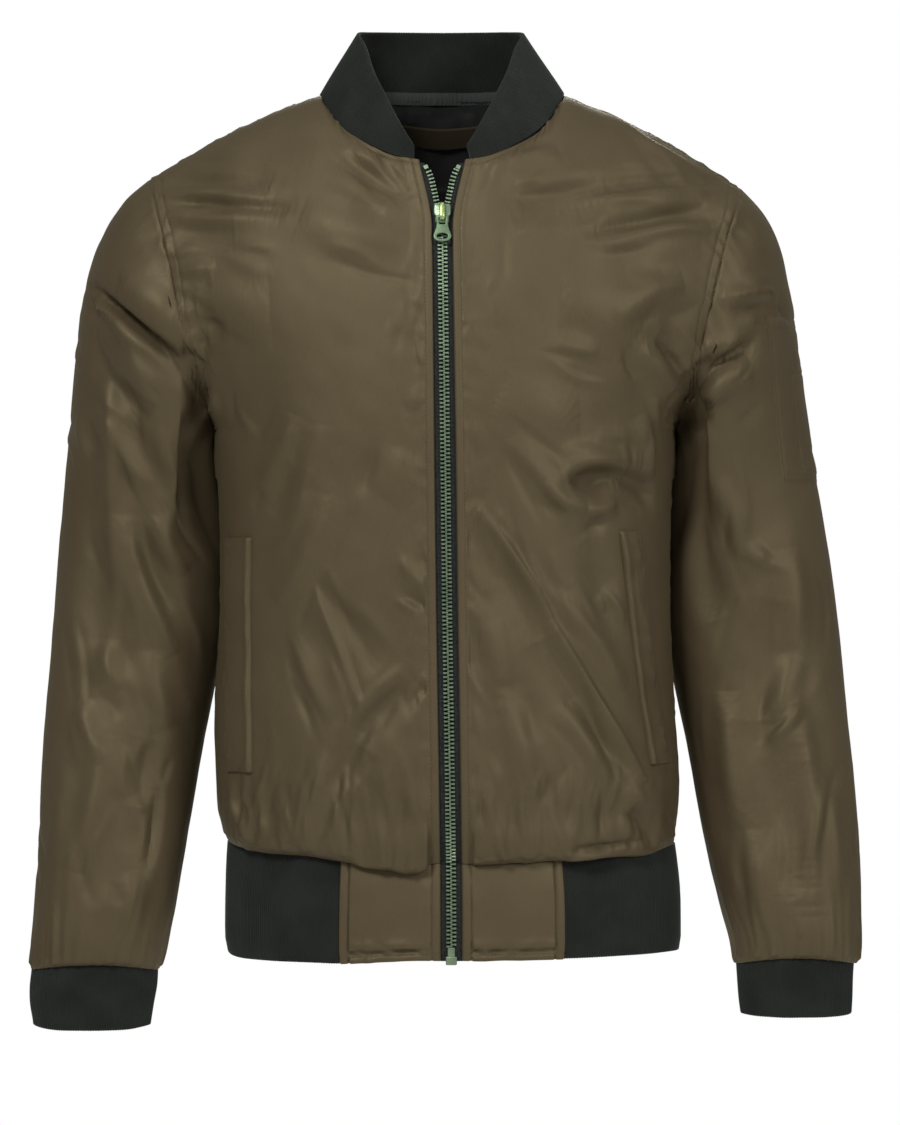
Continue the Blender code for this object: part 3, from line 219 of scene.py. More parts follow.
# The creases of the front: where each starts and ends in the photograph, how far its middle bends
# aside in pixels, its half width and its height in millimetres (a trough is negative), how sharp its
# crest is, from 0 to 1, and how much wider its flank on the left of its run is, from -1 to 1.
Fold = namedtuple("Fold", "x0 y0 x1 y1 bow width height sharp lopsided")
FRONT_FOLDS = rows_of(Fold, (
    # right sleeve
    (90, 287, 208, 396, -6, 4.6, -9.0, 0.5, 0.35), (88, 298, 140, 326, -4, 2.6, -3.9, 0.5, 0.0),
    (118, 284, 196, 352, -8, 15, 5.5, 0.1, 0.2), (92, 300, 160, 362, -4, 6, 3.1, 0.3, 0.0),
    (90, 292, 106, 316, 0, 5, 2.1, 0.4, 0.0), (112, 319, 155, 408, -5, 10, 3.6, 0.2, 0.3),
    (90, 326, 110, 382, 4, 7, -2.3, 0.2, 0.0), (106, 382, 150, 418, 3, 8, -2.9, 0.3, -0.3),
    (107, 380, 112, 520, -3, 8, 3.1, 0.3, 0.4), (112, 416, 153, 490, 6, 8, 3.4, 0.3, -0.2),
    (126, 410, 170, 500, 6, 9, -3.4, 0.2, 0.0), (80, 415, 90, 465, 2, 7, 1.8, 0.2, 0.0),
    (113, 508, 120, 600, 2, 9, 2.9, 0.2, -0.3), (127, 512, 175, 655, 8, 9, 3.4, 0.3, 0.3),
    (140, 520, 176, 610, 8, 8, -3.1, 0.2, 0.0), (156, 514, 188, 572, 5, 8, 3.1, 0.3, 0.2),
    (92, 560, 108, 690, 3, 12, -2.3, 0.0, 0.0), (105, 640, 118, 690, 4, 8, 3.1, 0.3, 0.2),
    (84, 700, 104, 760, 5, 8, 3.1, 0.3, 0.2), (102, 735, 74, 872, -6, 10, 2.9, 0.2, 0.0),
    (150, 650, 168, 730, 4, 9, 2.6, 0.2, 0.0), (159, 786, 147, 868, -2, 4.5, -2.6, 0.6, 0.3),
    (154, 740, 140, 806, 2, 8, -2.6, 0.3, 0.0), (133, 872, 126, 930, -1, 8, 2.3, 0.2, 0.0),
    (66, 760, 60, 900, 2, 9, 1.2, 0.1, 0.0),
    # left sleeve
    (752, 342, 666, 424, 8, 6.0, -9.5, 0.5, -0.3), (728, 348, 671, 398, 4, 4.2, -6.5, 0.4, 0.0),
    (742, 342, 688, 388, 5, 7.0, 4.7, 0.2, 0.0), (712, 400, 668, 436, 5, 7.0, -5.2, 0.3, -0.3),
    (752, 366, 690, 412, 6, 12, 4.4, 0.1, 0.0), (718, 300, 776, 293, -3, 6, 3.1, 0.4, 0.3),
    (728, 308, 770, 304, -2, 6, -2.3, 0.3, 0.0), (706, 215, 742, 205, 2, 9, 2.3, 0.2, 0.0),
    (780, 300, 796, 322, 3, 4, -2.1, 0.4, 0.0), (752, 566, 764, 548, 0, 8, 2.6, 0.2, 0.0),
    (789, 548, 794, 655, -3, 11, 3.4, 0.1, 0.2), (796, 654, 780, 724, 4, 9, 2.9, 0.2, 0.0),
    (797, 702, 768, 742, -4, 5, 2.9, 0.5, -0.4), (798, 700, 812, 918, -4, 10, 2.6, 0.1, 0.2),
    (776, 600, 760, 720, 4, 14, -3.4, 0.0, 0.0), (792, 760, 800, 900, 3, 12, -3.1, 0.0, 0.0),
    (700, 500, 716, 620, 4, 12, -2.9, 0.1, 0.0), (716, 480, 742, 560, -6, 9, 2.9, 0.2, 0.0),
    (726, 690, 742, 830, 4, 10, 2.6, 0.2, 0.0), (752, 830, 764, 930, -3, 9, 2.3, 0.2, 0.0),
    (834, 780, 838, 900, 2, 8, 1.0, 0.1, 0.0),
    # right front
    (150, 181, 272, 188, -3, 8, -2.6, 0.1, 0.0), (158, 194, 272, 206, -3, 5, 2.6, 0.4, -0.3),
    (190, 199, 290, 211, -2, 5, -3.0, 0.3, 0.2), (164, 216, 280, 214, 3, 7, 2.2, 0.2, 0.0),
    (164, 226, 236, 230, 2, 8, -1.8, 0.1, 0.0), (182, 273, 216, 268, -1, 5, 1.8, 0.3, 0.0),
    (196, 290, 270, 306, 8, 20, 2.6, 0.0, 0.0), (192, 320, 226, 330, -2, 6, -3.4, 0.3, 0.3),
    (198, 342, 208, 340, 1, 4, -2.0, 0.3, 0.0), (182, 348, 206, 368, 1, 4, -2.8, 0.4, 0.0),
    (212, 390, 233, 452, 4, 7, 2.8, 0.2, 0.3), (256, 492, 294, 414, 5, 9, 1.6, 0.2, 0.0),
    (268, 514, 288, 460, 3, 8, -1.3, 0.1, 0.0), (340, 155, 396, 196, -4, 8, -2.8, 0.2, 0.2),
    (372, 158, 412, 200, -3, 7, -2.2, 0.3, 0.0), (352, 152, 402, 190, -4, 6, 2.0, 0.2, 0.0),
    (330, 112, 372, 158, 4, 8, 1.8, 0.1, 0.0), (300, 215, 410, 236, 6, 14, 2.2, 0.0, 0.0),
    (328, 494, 276, 604, -6, 11, 2.2, 0.2, 0.2), (312, 582, 363, 714, -2, 4.5, 1.7, 0.7, 0.5),
    (292, 632, 330, 720, 4, 7, 1.7, 0.3, -0.3), (312, 584, 374, 672, -8, 8, -1.6, 0.2, 0.0),
    (412, 686, 354, 740, 6, 9, -3.3, 0.3, -0.3), (366, 716, 326, 790, -4, 9, -2.4, 0.2, 0.0),
    (404, 668, 352, 726, 6, 9, 1.9, 0.1, 0.0), (336, 758, 294, 846, 8, 9, 2.3, 0.2, 0.2),
    (402, 556, 426, 590, 3, 5, 1.6, 0.4, 0.0), (404, 592, 426, 606, 2, 4, -1.6, 0.4, 0.0),
    (418, 686, 428, 692, 0, 4, -1.6, 0.4, 0.0), (230, 782, 262, 850, 6, 6, 2.2, 0.3, 0.0),
    (238, 776, 250, 838, 4, 5, -2.2, 0.3, 0.0), (386, 500, 408, 450, 3, 12, 1.3, 0.0, 0.0),
    # left front
    (516, 203, 606, 185, -2, 8, -3.2, 0.2, 0.0), (592, 187, 706, 182, -4, 8, -2.8, 0.2, 0.0),
    (556, 206, 722, 192, -5, 6, 2.4, 0.3, 0.3), (512, 219, 604, 203, -3, 8, -2.4, 0.1, 0.0),
    (594, 233, 722, 217, -4, 5, -3.4, 0.4, -0.3), (600, 241, 716, 228, -4, 6, 2.2, 0.2, 0.0),
    (486, 170, 560, 152, -3, 7, 2.0, 0.2, 0.0), (610, 110, 700, 172, 5, 6, 1.8, 0.2, 0.0),
    (612, 320, 684, 282, -5, 9, 2.8, 0.2, 0.0), (560, 300, 640, 330, -8, 22, 2.6, 0.0, 0.0),
    (655, 338, 686, 384, -3, 5, -4.2, 0.4, 0.2), (640, 346, 672, 392, -4, 9, 3.0, 0.2, 0.0),
    (642, 412, 650, 482, -3, 7, 2.8, 0.2, 0.2), (654, 396, 664, 452, 2, 5, 2.0, 0.3, 0.0),
    (568, 484, 624, 478, -6, 7, -5.6, 0.3, 0.2), (618, 478, 662, 504, -5, 8, -5.2, 0.3, 0.2),
    (586, 488, 610, 480, 1, 4, -2.4, 0.4, 0.0), (543, 482, 586, 509, 7, 6, 3.0, 0.3, -0.3),
    (584, 509, 616, 503, 3, 6, 2.4, 0.3, 0.0), (560, 470, 640, 466, -6, 10, 3.0, 0.1, 0.0),
    (508, 440, 582, 534, -3, 8, 2.4, 0.2, -0.4), (478, 508, 556, 628, -5, 5, 3.0, 0.6, 0.5),
    (548, 618, 645, 784, -2, 5, 3.0, 0.6, 0.5), (470, 520, 540, 640, -4, 12, -2.8, 0.1, 0.0),
    (540, 640, 622, 780, -4, 10, -2.4, 0.1, 0.0), (562, 596, 622, 690, -4, 7, 2.4, 0.3, 0.0),
    (570, 700, 622, 800, 4, 11, 3.0, 0.1, 0.2), (604, 588, 624, 622, -2, 4, 1.8, 0.4, 0.0),
    (582, 540, 612, 640, -6, 12, -2.0, 0.0, 0.0), (476, 600, 500, 700, -4, 8, 2.0, 0.2, 0.0),
    (496, 690, 532, 800, -6, 10, 2.6, 0.1, 0.0), (632, 806, 656, 846, 3, 7, -3.0, 0.3, 0.0),
    (620, 792, 664, 812, -3, 7, 2.4, 0.2, 0.0), (566, 848, 646, 838, 3, 3.5, -2.4, 0.5, 0.0),
    (496, 398, 580, 412, 6, 20, 1.8, 0.0, 0.0),
))

# The creases of the back, placed as if they were seen through the front
BACK_FOLDS = rows_of(Fold, (
    (150, 190, 322, 160, 6, 8, -1.8, 0.2, 0.0), (162, 208, 300, 184, 5, 6, 1.8, 0.3, 0.2),
    (178, 226, 270, 214, 4, 5, -1.6, 0.3, 0.2), (572, 158, 728, 192, 6, 8, -1.8, 0.2, 0.0),
    (590, 180, 712, 214, 5, 6, 1.8, 0.3, -0.2), (640, 216, 720, 236, 3, 5, -1.6, 0.3, 0.2),
    (330, 156, 560, 150, 10, 12, 1.6, 0.0, 0.0), (204, 356, 318, 452, 12, 8, 2.2, 0.3, 0.2),
    (208, 338, 292, 396, 8, 6, -2.0, 0.4, 0.0), (212, 396, 262, 500, 8, 7, 2.0, 0.3, 0.0),
    (686, 360, 580, 500, -14, 9, 2.2, 0.3, -0.2), (682, 334, 604, 410, -8, 6, -2.0, 0.4, 0.0),
    (678, 420, 640, 520, -6, 7, 1.8, 0.3, 0.0), (270, 520, 338, 800, 12, 8, 1.9, 0.4, 0.3),
    (304, 470, 380, 640, 10, 10, -1.7, 0.2, 0.0), (352, 560, 398, 770, 8, 7, 1.7, 0.4, -0.2),
    (612, 500, 540, 760, -12, 8, 1.9, 0.4, -0.3), (580, 520, 516, 700, -8, 10, -1.7, 0.2, 0.0),
    (556, 600, 500, 810, -10, 7, 1.8, 0.4, 0.2), (436, 540, 456, 800, 8, 9, 1.5, 0.2, 0.0),
    (246, 590, 262, 820, 4, 7, 1.7, 0.3, 0.0), (644, 610, 628, 790, -4, 7, 1.7, 0.3, 0.0),
    (390, 320, 470, 346, 8, 18, 1.4, 0.0, 0.0), (470, 250, 560, 286, 10, 18, -1.2, 0.0, 0.0),
    (322, 706, 412, 768, 8, 6, 1.9, 0.5, 0.3), (566, 716, 480, 776, -8, 6, 1.7, 0.5, -0.3),
    (300, 640, 360, 690, 5, 6, 1.5, 0.5, -0.3),
    # the back of the right sleeve
    (113, 313, 196, 396, 8, 8, -4.9, 0.4, -0.3), (124, 303, 200, 372, 6, 11, 2.2, 0.1, 0.0),
    (105, 354, 176, 440, 8, 8, -2.2, 0.3, 0.0), (97, 431, 166, 500, 8, 9, 1.9, 0.3, 0.2),
    (94, 483, 158, 560, 8, 8, -1.9, 0.3, 0.0), (95, 537, 150, 640, 8, 9, 1.5, 0.2, 0.0),
    (102, 660, 140, 780, 6, 10, 1.4, 0.2, 0.0), (78, 725, 92, 880, 3, 10, 1.2, 0.1, 0.0),
    (124, 797, 150, 900, 3, 7, -1.2, 0.3, 0.0),
    # the back of the left sleeve
    (771, 314, 690, 400, -8, 8, -4.9, 0.4, 0.3), (760, 302, 688, 374, -6, 11, 2.2, 0.1, 0.0),
    (784, 356, 712, 440, -8, 8, -2.2, 0.3, 0.0), (792, 433, 716, 512, -8, 9, 1.9, 0.3, -0.2),
    (797, 483, 730, 566, -8, 8, -1.9, 0.3, 0.0), (800, 545, 740, 640, -8, 9, 1.5, 0.2, 0.0),
    (798, 660, 752, 780, -6, 10, 1.4, 0.2, 0.0), (826, 725, 812, 880, -3, 10, 1.2, 0.1, 0.0),
    (772, 797, 748, 900, -3, 7, -1.2, 0.3, 0.0),
))
COMPANIONS = 3  # smaller creases beside each of these
FOLD_STEPS = 25
FOLD_STRENGTH = 2.4  # both factors apply to all the creases
FOLD_BREADTH = 1.2
MOST_PUSH = 12.0
MOST_OUTER_PUSH = 1.7  # on the sleeves' outer side, whose outline is smooth

# Wrinkles too small to place one by one: how many there are, the rows of pixels between which they lie,
# their slant and half their run in pixels, and their half width and height in millimetres
Wrinkles = namedtuple("Wrinkles", "count rows slant half width height")
ZIP_WRINKLES = Wrinkles(110, (250, 830), 0.35, (7, 26), (1.8, 3.6), (0.13, 0.36))
HEM_WRINKLES = Wrinkles(100, (785, 838), 0.3, (14, 46), (2.0, 4.4), (0.3, 0.8))
ZIP_PIXEL = 445.5

# Small puckers that run off a seam: how far apart they are, how far they reach and how high they are
Pucker = namedtuple("Pucker", "pitch reach height")
ZIP_PUCKERS = Pucker(6.0, 7.0, 0.8)
ARMHOLE_PUCKERS = Pucker(6.0, 12.0, 2.2)
SEAM_PUCKERS = Pucker(10.0, 14.0, 1.0)
NECK_PUCKERS = Pucker(7.0, 12.0, 1.5)
CUFF_PUCKERS = Pucker(6.5, 26.0, 1.8)
WELT_PUCKERS = Pucker(9.0, 10.0, 1.2)
FRONT_GATHERS = Pucker(12.0, 55.0, 1.3)
BACK_GATHERS = Pucker(12.0, 60.0, 1.6)
SMALL_GATHERS = Pucker(5.0, 22.0, 1.0)

# How the gathers above the waistband grow and how far the cloth hangs over it, across the front
Hem = namedtuple("Hem", "x gather drop")
FRONT_HEM = rows_of(Hem, (
    (-200, 0.5, -14.0), (-172, 0.8, -12.0), (-156, 1.1, -8.5), (-138, 1.2, -6.0),
    (-105, 1.1, -4.5), (-83, 1.4, -1.5), (-50, 1.8, 3.6), (-18, 2.0, 5.2), (-8, 1.4, 0.0),
    (14, 1.2, 1.0), (22, 1.8, 0.5), (50, 1.9, 0.5), (90, 1.4, -2.5), (128, 1.1, -3.9),
    (159, 0.9, -4.5), (174, 0.9, -9.0), (200, 0.5, -10.0),
))
BACK_HEM = rows_of(Hem, (
    (-200, 1.0, -14.0), (-172, 1.0, -12.0), (-150, 1.4, -4.0), (-80, 1.8, 2.0),
    (0, 2.0, 3.0), (80, 1.8, 2.0), (150, 1.4, -3.0), (174, 1.0, -9.0), (200, 1.0, -10.0),
))
LIP = 8.0  # how far up the cloth its lowest point lies when it hangs over the waistband

GAP_DEPTH = {RIGHT: 15.0, LEFT: 10.0}  # how far the sleeve draws back from the body's side in front
TUCK_DEPTH = 20.0
TUCK_REACH = 11.0
TUCK_FROM = 0.62  # of the way round the armhole's front, from the shoulder to the underarm
SEAM_GAP = 2.5  # edges of panels nearer than this are one seam
STRIP_WIDTH = 5.8  # the flat strip beside the zip

# How far each row of topstitching lies from its edge
STRIP_STITCH = 6.0
ARMHOLE_STITCH = 8.0
SEAM_STITCH = 1.6
NECK_STITCH = 5.0
SHOULDER_STITCHES = {RIGHT: (4.0,), LEFT: (9.0, 12.5)}
POCKET_STITCH = 3.0
SECOND_POCKET_STITCH = 8.0
POCKET_TOP_STITCH = 9.0
TAB_ZIP_STITCH = 7.0
TAB_FAR_STITCH = 8.2
TAB_LOW_STITCH = 5.2


# ---------------------------------------------------------------- tables and surfaces


def smooth(table, at):
    """Rows of the table's other columns, read at values of its first one along a smooth curve."""
    rows = np.array(table, float)
    knots, values = rows[:, 0], rows[:, 1:]
    at = np.atleast_1d(np.asarray(at, float))
    step = np.diff(knots)[:, None]
    rise = np.diff(values, axis=0) / step
    between = (rise[:-1] * step[1:] + rise[1:] * step[:-1]) / (step[:-1] + step[1:])
    slope = np.vstack([rise[:1], between, rise[-1:]])
    i = np.clip(np.searchsorted(knots, at, "right") - 1, 0, len(knots) - 2)
    h = step[i]
    t = np.clip((at - knots[i])[:, None] / h, 0, 1)
    return (
        values[i] * (1 + 2 * t) * (1 - t) ** 2
        + slope[i] * h * t * (1 - t) ** 2
        + values[i + 1] * t * t * (3 - 2 * t)
        + slope[i + 1] * h * t * t * (t - 1)
    )


def numbered(table):
    return [(i, *row) for i, row in enumerate(table)]


def ease(t):
    t = np.clip(t, 0, 1)
    return t * t * (3 - 2 * t)


def bell(t):
    return np.exp(-t * t)


def stacked(*columns):
    return np.stack(np.broadcast_arrays(*columns), axis=-1).astype(float)


def unit(vectors):
    return vectors / np.maximum(np.linalg.norm(vectors, axis=-1, keepdims=True), 1e-9)


def read(table, at):
    """The table's other columns at values of its first one, each in the shape of at."""
    columns = smooth(table, np.ravel(at)).T
    return [column.reshape(np.shape(at)) for column in columns]


def band_at(z):
    """The waistband's half width, front and back, whose table runs down."""
    return read([(-row[0], *row[1:]) for row in WAISTBAND], -z)


def zip_lean(z):
    return read(LEAN, z)[0]


def body_lean(z):
    return read(LEAN, z)[1]


def zip_gap(z):
    return read(ZIP_GAP, z)[0]


def neck(s):
    row = stacked(*read(numbered(NECK), np.asarray(s, float) * (len(NECK) - 1)))
    return row[..., :3], row[..., 3:]


def ring_points(row, angle, side):
    outer_x, outer_z, inner_x, inner_z, mid_y, depth, arch = row
    across = np.cos(angle)
    x = (outer_x + inner_x) / 2 + across * (outer_x - inner_x) / 2
    z = (outer_z + inner_z) / 2 + across * (outer_z - inner_z) / 2 + arch * np.sin(angle) ** 2
    return stacked(side * x, mid_y - depth * np.sin(angle), z)


def armhole(side, face, turn):
    return ring_points(SLEEVES[side][0], -face * turn, side)


def shoulder_seam(side, w):
    start = neck(0.5)[0] * (side, 1, 1) + (body_lean(0.0), 0, 0)
    end = armhole(side, FRONT, 0.0)
    w = np.asarray(w, float)[..., None]
    return start + (end - start) * w + SHOULDER_SAG * (4 * w * (1 - w))


def top_edge(side, face, u):
    s = np.clip(u / NECK_SHARE, 0, 1) * 0.5
    foot = neck(s if face == FRONT else 1 - s)[0] * (side, 1, 1)
    foot[..., 0] += body_lean(foot[..., 2])
    seam = shoulder_seam(side, np.clip((u - NECK_SHARE) / (1 - NECK_SHARE), 0, 1))
    return np.where((u <= NECK_SHARE)[..., None], foot, seam)


def arc(side, face, u, level):
    """A panel's points before its top is drawn to the neck and the shoulder seam."""
    low = np.clip(level, 0, 1)
    high = np.clip(level - 1, 0, 1)
    neck_z = FRONT_NECK_Z if face == FRONT else BACK_NECK_Z
    centre_z = SEAM_Z + low * (UNDERARM_Z - SEAM_Z) + high * (neck_z - UNDERARM_Z)
    half_width, front, back = read(TORSO, centre_z)
    centre_y = -front if face == FRONT else back
    centre_x = zip_lean(centre_z) + side * zip_gap(centre_z) if face == FRONT else body_lean(centre_z)
    seam = stacked(side * half_width + body_lean(centre_z), 0.0, centre_z)
    edge = np.where((level < 1)[..., None], seam, armhole(side, face, math.pi * (1 - high)))
    end = np.radians(90 - 42 * np.sin(high * math.pi / 2))
    turn = u * end
    out = (np.sin(turn) / np.sin(end)) ** BOXINESS
    fade = np.clip(np.cos(end), 1e-12, 1) ** BOXINESS
    toward = (np.clip(np.cos(turn), 1e-12, 1) ** BOXINESS - fade) / (1 - fade)
    x = centre_x + (edge[..., 0] - centre_x) * out
    y = edge[..., 1] + (centre_y - edge[..., 1]) * toward
    z = centre_z + (edge[..., 2] - centre_z) * u**1.6
    return stacked(x, y, z)


def top_pull(side, face, u, s):
    """How far the panel's top is drawn, evened out more the lower down it is."""
    spread = PULL_SPREAD * (1 - s) * np.clip(u / 0.2, 0, 1) * np.clip((1 - u) / 0.2, 0, 1)
    offsets = np.linspace(-1, 1, 7)
    total = 0
    for offset in offsets:
        near = np.clip(u + offset * spread, 0, 1)
        total = total + top_edge(side, face, near) - arc(side, face, near, np.full_like(near, 2.0))
    return total / len(offsets)


def torso(side, face, u, level):
    """Points of a front or of half the back: u from the centre to the side, level from hem to top."""
    u, level = np.broadcast_arrays(np.asarray(u, float), np.asarray(level, float))
    points = arc(side, face, u, level)
    start = arc(side, face, u, np.full_like(u, SHOULDER_LEVEL))
    last = arc(side, face, u, np.full_like(u, 2.0))
    s = np.clip((level - SHOULDER_LEVEL) / (2 - SHOULDER_LEVEL), 0, 1)
    pull = top_pull(side, face, u, s)
    round_over = ease(u / 0.45) * (1 - ease((u - 0.72) / 0.28))
    added_z = points[..., 2] + s * pull[..., 2]
    rolled_z = start[..., 2] + (last - start + pull)[..., 2] * np.sin(s * math.pi / 2)
    share_y = s * s + (1 - np.cos(s * math.pi / 2) - s * s) * round_over
    x = points[..., 0] + pull[..., 0] * ease(s)
    y = points[..., 1] + pull[..., 1] * share_y
    z = np.where(s > 0, added_z + (rolled_z - added_z) * round_over, points[..., 2])
    return stacked(x, y, z)


def whole_back(columns, level):
    """The back panel from the right side to the left one."""
    right, left = (torso(side, BACK, columns[None, :], level) for side in (RIGHT, LEFT))
    return np.concatenate([right[:, :0:-1], left], axis=1)


def sleeve(side, angle, ring):
    angle, ring = np.broadcast_arrays(np.asarray(angle, float), np.asarray(ring, float))
    return ring_points(read(numbered(SLEEVES[side]), ring), angle, side)


def waistband(turn, z):
    half_width, front, back = band_at(z)
    across, along = np.sin(turn), np.cos(turn)
    share = np.clip(np.abs(across), 0, 1) ** BOXINESS
    middle = np.where(along > 0, zip_lean(z) * (1 - share) + body_lean(z) * share, body_lean(z))
    x = half_width * np.sign(across) * share + middle
    y = np.where(along > 0, -front, back) * np.abs(along) ** BOXINESS
    return stacked(x, y, z)


def turn_at(x):
    """The waistband's turn at this distance from the middle."""
    return math.asin((x / WAISTBAND[1].half_width) ** (1 / BOXINESS))


# ---------------------------------------------------------------- grids


def normals(grid, wrap=False):
    """Unit normals of a grid of points. wrap says that its columns close into a ring."""
    if wrap:
        ring = np.concatenate([grid[:, -1:], grid, grid[:, :1]], axis=1)
        along = np.gradient(ring, axis=1)[:, 1:-1]
    else:
        along = np.gradient(grid, axis=1)
    return unit(np.cross(along, np.gradient(grid, axis=0)))


def turned_normals(grid, n):
    """The grid's own normals, on the side that n is on."""
    own = normals(grid)
    return own * np.sign((own * n).sum())


def outward(grid, wrap=False, centre=(0.0, 0.0, -350.0)):
    """The grid's normals, all turned to the side that faces away from the centre."""
    if wrap:
        centre = grid.mean(axis=1, keepdims=True)
    n = normals(grid, wrap)
    return n if (n * (grid - np.asarray(centre))).sum() > 0 else -n


def run_along(grid, axis):
    """How far each point lies from the grid's first row or column, along the cloth."""
    step = np.linalg.norm(np.diff(grid, axis=axis), axis=-1)
    start = np.zeros_like(np.take(step, [0], axis=axis))
    return np.concatenate([start, np.cumsum(step, axis=axis)], axis=axis)


def graded(count, fine_start, fine_end, share_start, share_end):
    """Steps from 0 to 1 with this many fine ones over these shares of each end."""
    parts = [
        np.linspace(0, share_start, fine_start + 1),
        np.linspace(share_start, 1 - share_end, count + 1)[1:],
    ]
    if fine_end:
        parts.append(np.linspace(1 - share_end, 1, fine_end + 1)[1:])
    return np.concatenate(parts)


def line_run(line):
    """How far each point lies along the line."""
    return np.concatenate([[0], np.cumsum(np.linalg.norm(np.diff(line, axis=0), axis=1))])


def line_at(line, run, at):
    """The line read at these lengths along it."""
    return np.stack([np.interp(at, run, line[:, k]) for k in range(3)], -1)


def line_read(values, lengths, at):
    """Rows of values read at one length each along their own row of lengths."""
    return np.stack([
        [np.interp(at, lengths[row], values[row, :, k]) for k in range(values.shape[2])]
        for row in range(values.shape[0])
    ])


# ---------------------------------------------------------------- creases


def seen(px, py, y):
    """The point at depth y that the photograph shows at this pixel."""
    share = (y - CAMERA_AT[1]) / -CAMERA_AT[1] * PIXEL
    return CAMERA_AT[0] + (px - PHOTO_MIDDLE[0]) * share, CAMERA_AT[2] - (py - PHOTO_MIDDLE[1]) * share


def base_cloth():
    """Points and normals all over the torso and the sleeves, on the front and on the back."""
    u = np.linspace(0, 1, 50)[None, :]
    level = np.linspace(0, 2, 120)[:, None]
    angle = np.linspace(0, math.pi, 44)[None, :]
    ring = np.linspace(0, LAST_RING, 140)[:, None]
    found = {FRONT: [], BACK: []}
    for side in (RIGHT, LEFT):
        centre = SLEEVES[side][5]
        middle = np.array([side * (centre.outer_x + centre.inner_x) / 2, centre.mid_y, -400.0])
        for face in (FRONT, BACK):
            grid = torso(side, face, u, level)
            found[face].append(np.concatenate([grid, outward(grid)], axis=-1).reshape(-1, 6))
            grid = sleeve(side, -face * angle, ring)
            found[face].append(np.concatenate([grid, outward(grid, centre=middle)], axis=-1).reshape(-1, 6))
    return {face: np.concatenate(points) for face, points in found.items()}


def evened(t, rows):
    """The rows along a smooth curve through them, without the steps of the grid they come from."""
    return np.polynomial.polynomial.polyval(t, np.polynomial.polynomial.polyfit(t, rows, 5)).T


def small_fold(rng, centre, half, width, height):
    """A short crease through this pixel, with its ends half a run to either side."""
    bow = rng.uniform(-0.1, 0.1) * np.linalg.norm(half) * 2
    sharp, lopsided = rng.uniform(0.1, 0.6), rng.uniform(-0.5, 0.5)
    height = height * rng.choice([-1, 1])
    return Fold(*(centre - half), *(centre + half), bow, width, height, sharp, lopsided)


def companions(folds, seed):
    """Smaller creases beside the main ones, in nearly the same direction."""
    rng = np.random.default_rng(seed)
    found = []
    for fold in folds:
        start = np.array([fold.x0, fold.y0], float)
        run = np.array([fold.x1, fold.y1]) - start
        aside = np.array([-run[1], run[0]]) / np.linalg.norm(run)
        for _ in range(COMPANIONS):
            off = rng.choice([-1, 1]) * (fold.width * rng.uniform(1.2, 3.0) + 3)
            centre = start + run * rng.uniform(0.15, 0.85) + aside * off
            turn = rng.uniform(-0.25, 0.25)
            half = (run + aside * turn * np.linalg.norm(run)) * rng.uniform(0.18, 0.42)
            found.append(small_fold(rng, centre, half, rng.uniform(3.0, 7.0), rng.uniform(0.4, 0.9)))
    return tuple(found)


def upright_wrinkles(seed, kind, from_zip):
    """Upright wrinkles on both sides of the zip. from_zip draws how many pixels one lies off it."""
    rng = np.random.default_rng(seed)
    found = []
    for _ in range(kind.count):
        side = rng.choice([-1, 1])
        centre = np.array([ZIP_PIXEL + side * from_zip(rng), rng.uniform(*kind.rows)])
        half = np.array([rng.uniform(-kind.slant, kind.slant), 1.0]) * rng.uniform(*kind.half)
        found.append(small_fold(rng, centre, half, rng.uniform(*kind.width), rng.uniform(*kind.height)))
    return tuple(found)


def zip_wrinkles(seed):
    """Fine wrinkles close to the zip."""
    return upright_wrinkles(seed, ZIP_WRINKLES, lambda rng: 22 + abs(rng.normal()) * 15)


def hem_wrinkles(seed):
    """Wrinkles just above the waistband."""
    return upright_wrinkles(seed, HEM_WRINKLES, lambda rng: rng.uniform(26, 205))


def crease_lines():
    """Each fold as points on the cloth with the cloth's normals there."""
    base = base_cloth()
    lines = []
    front = FRONT_FOLDS + companions(FRONT_FOLDS, 7) + zip_wrinkles(8) + hem_wrinkles(11)
    back = BACK_FOLDS + companions(BACK_FOLDS, 9) + companions(BACK_FOLDS, 12) + hem_wrinkles(10)
    for face, folds in ((FRONT, front), (BACK, back)):
        cloth = base[face]
        for fold in folds:
            t = np.linspace(0, 1, FOLD_STEPS)
            run = np.array([fold.x1 - fold.x0, fold.y1 - fold.y0], float)
            aside = np.array([-run[1], run[0]]) / np.linalg.norm(run)
            px = fold.x0 + run[0] * t + aside[0] * fold.bow * np.sin(math.pi * t)
            py = fold.y0 + run[1] * t + aside[1] * fold.bow * np.sin(math.pi * t)
            y = np.full(FOLD_STEPS, 90.0 * face)
            for _ in range(3):
                x, z = seen(px, py, y)
                off = (cloth[None, :, 0] - x[:, None]) ** 2 + (cloth[None, :, 2] - z[:, None]) ** 2
                near = off.argmin(1)
                y = cloth[near, 1]
            line = evened(t, np.concatenate([stacked(x, y, z), cloth[near, 3:]], axis=1))
            lines.append((fold, line[:, :3], unit(line[:, 3:])))
    return lines


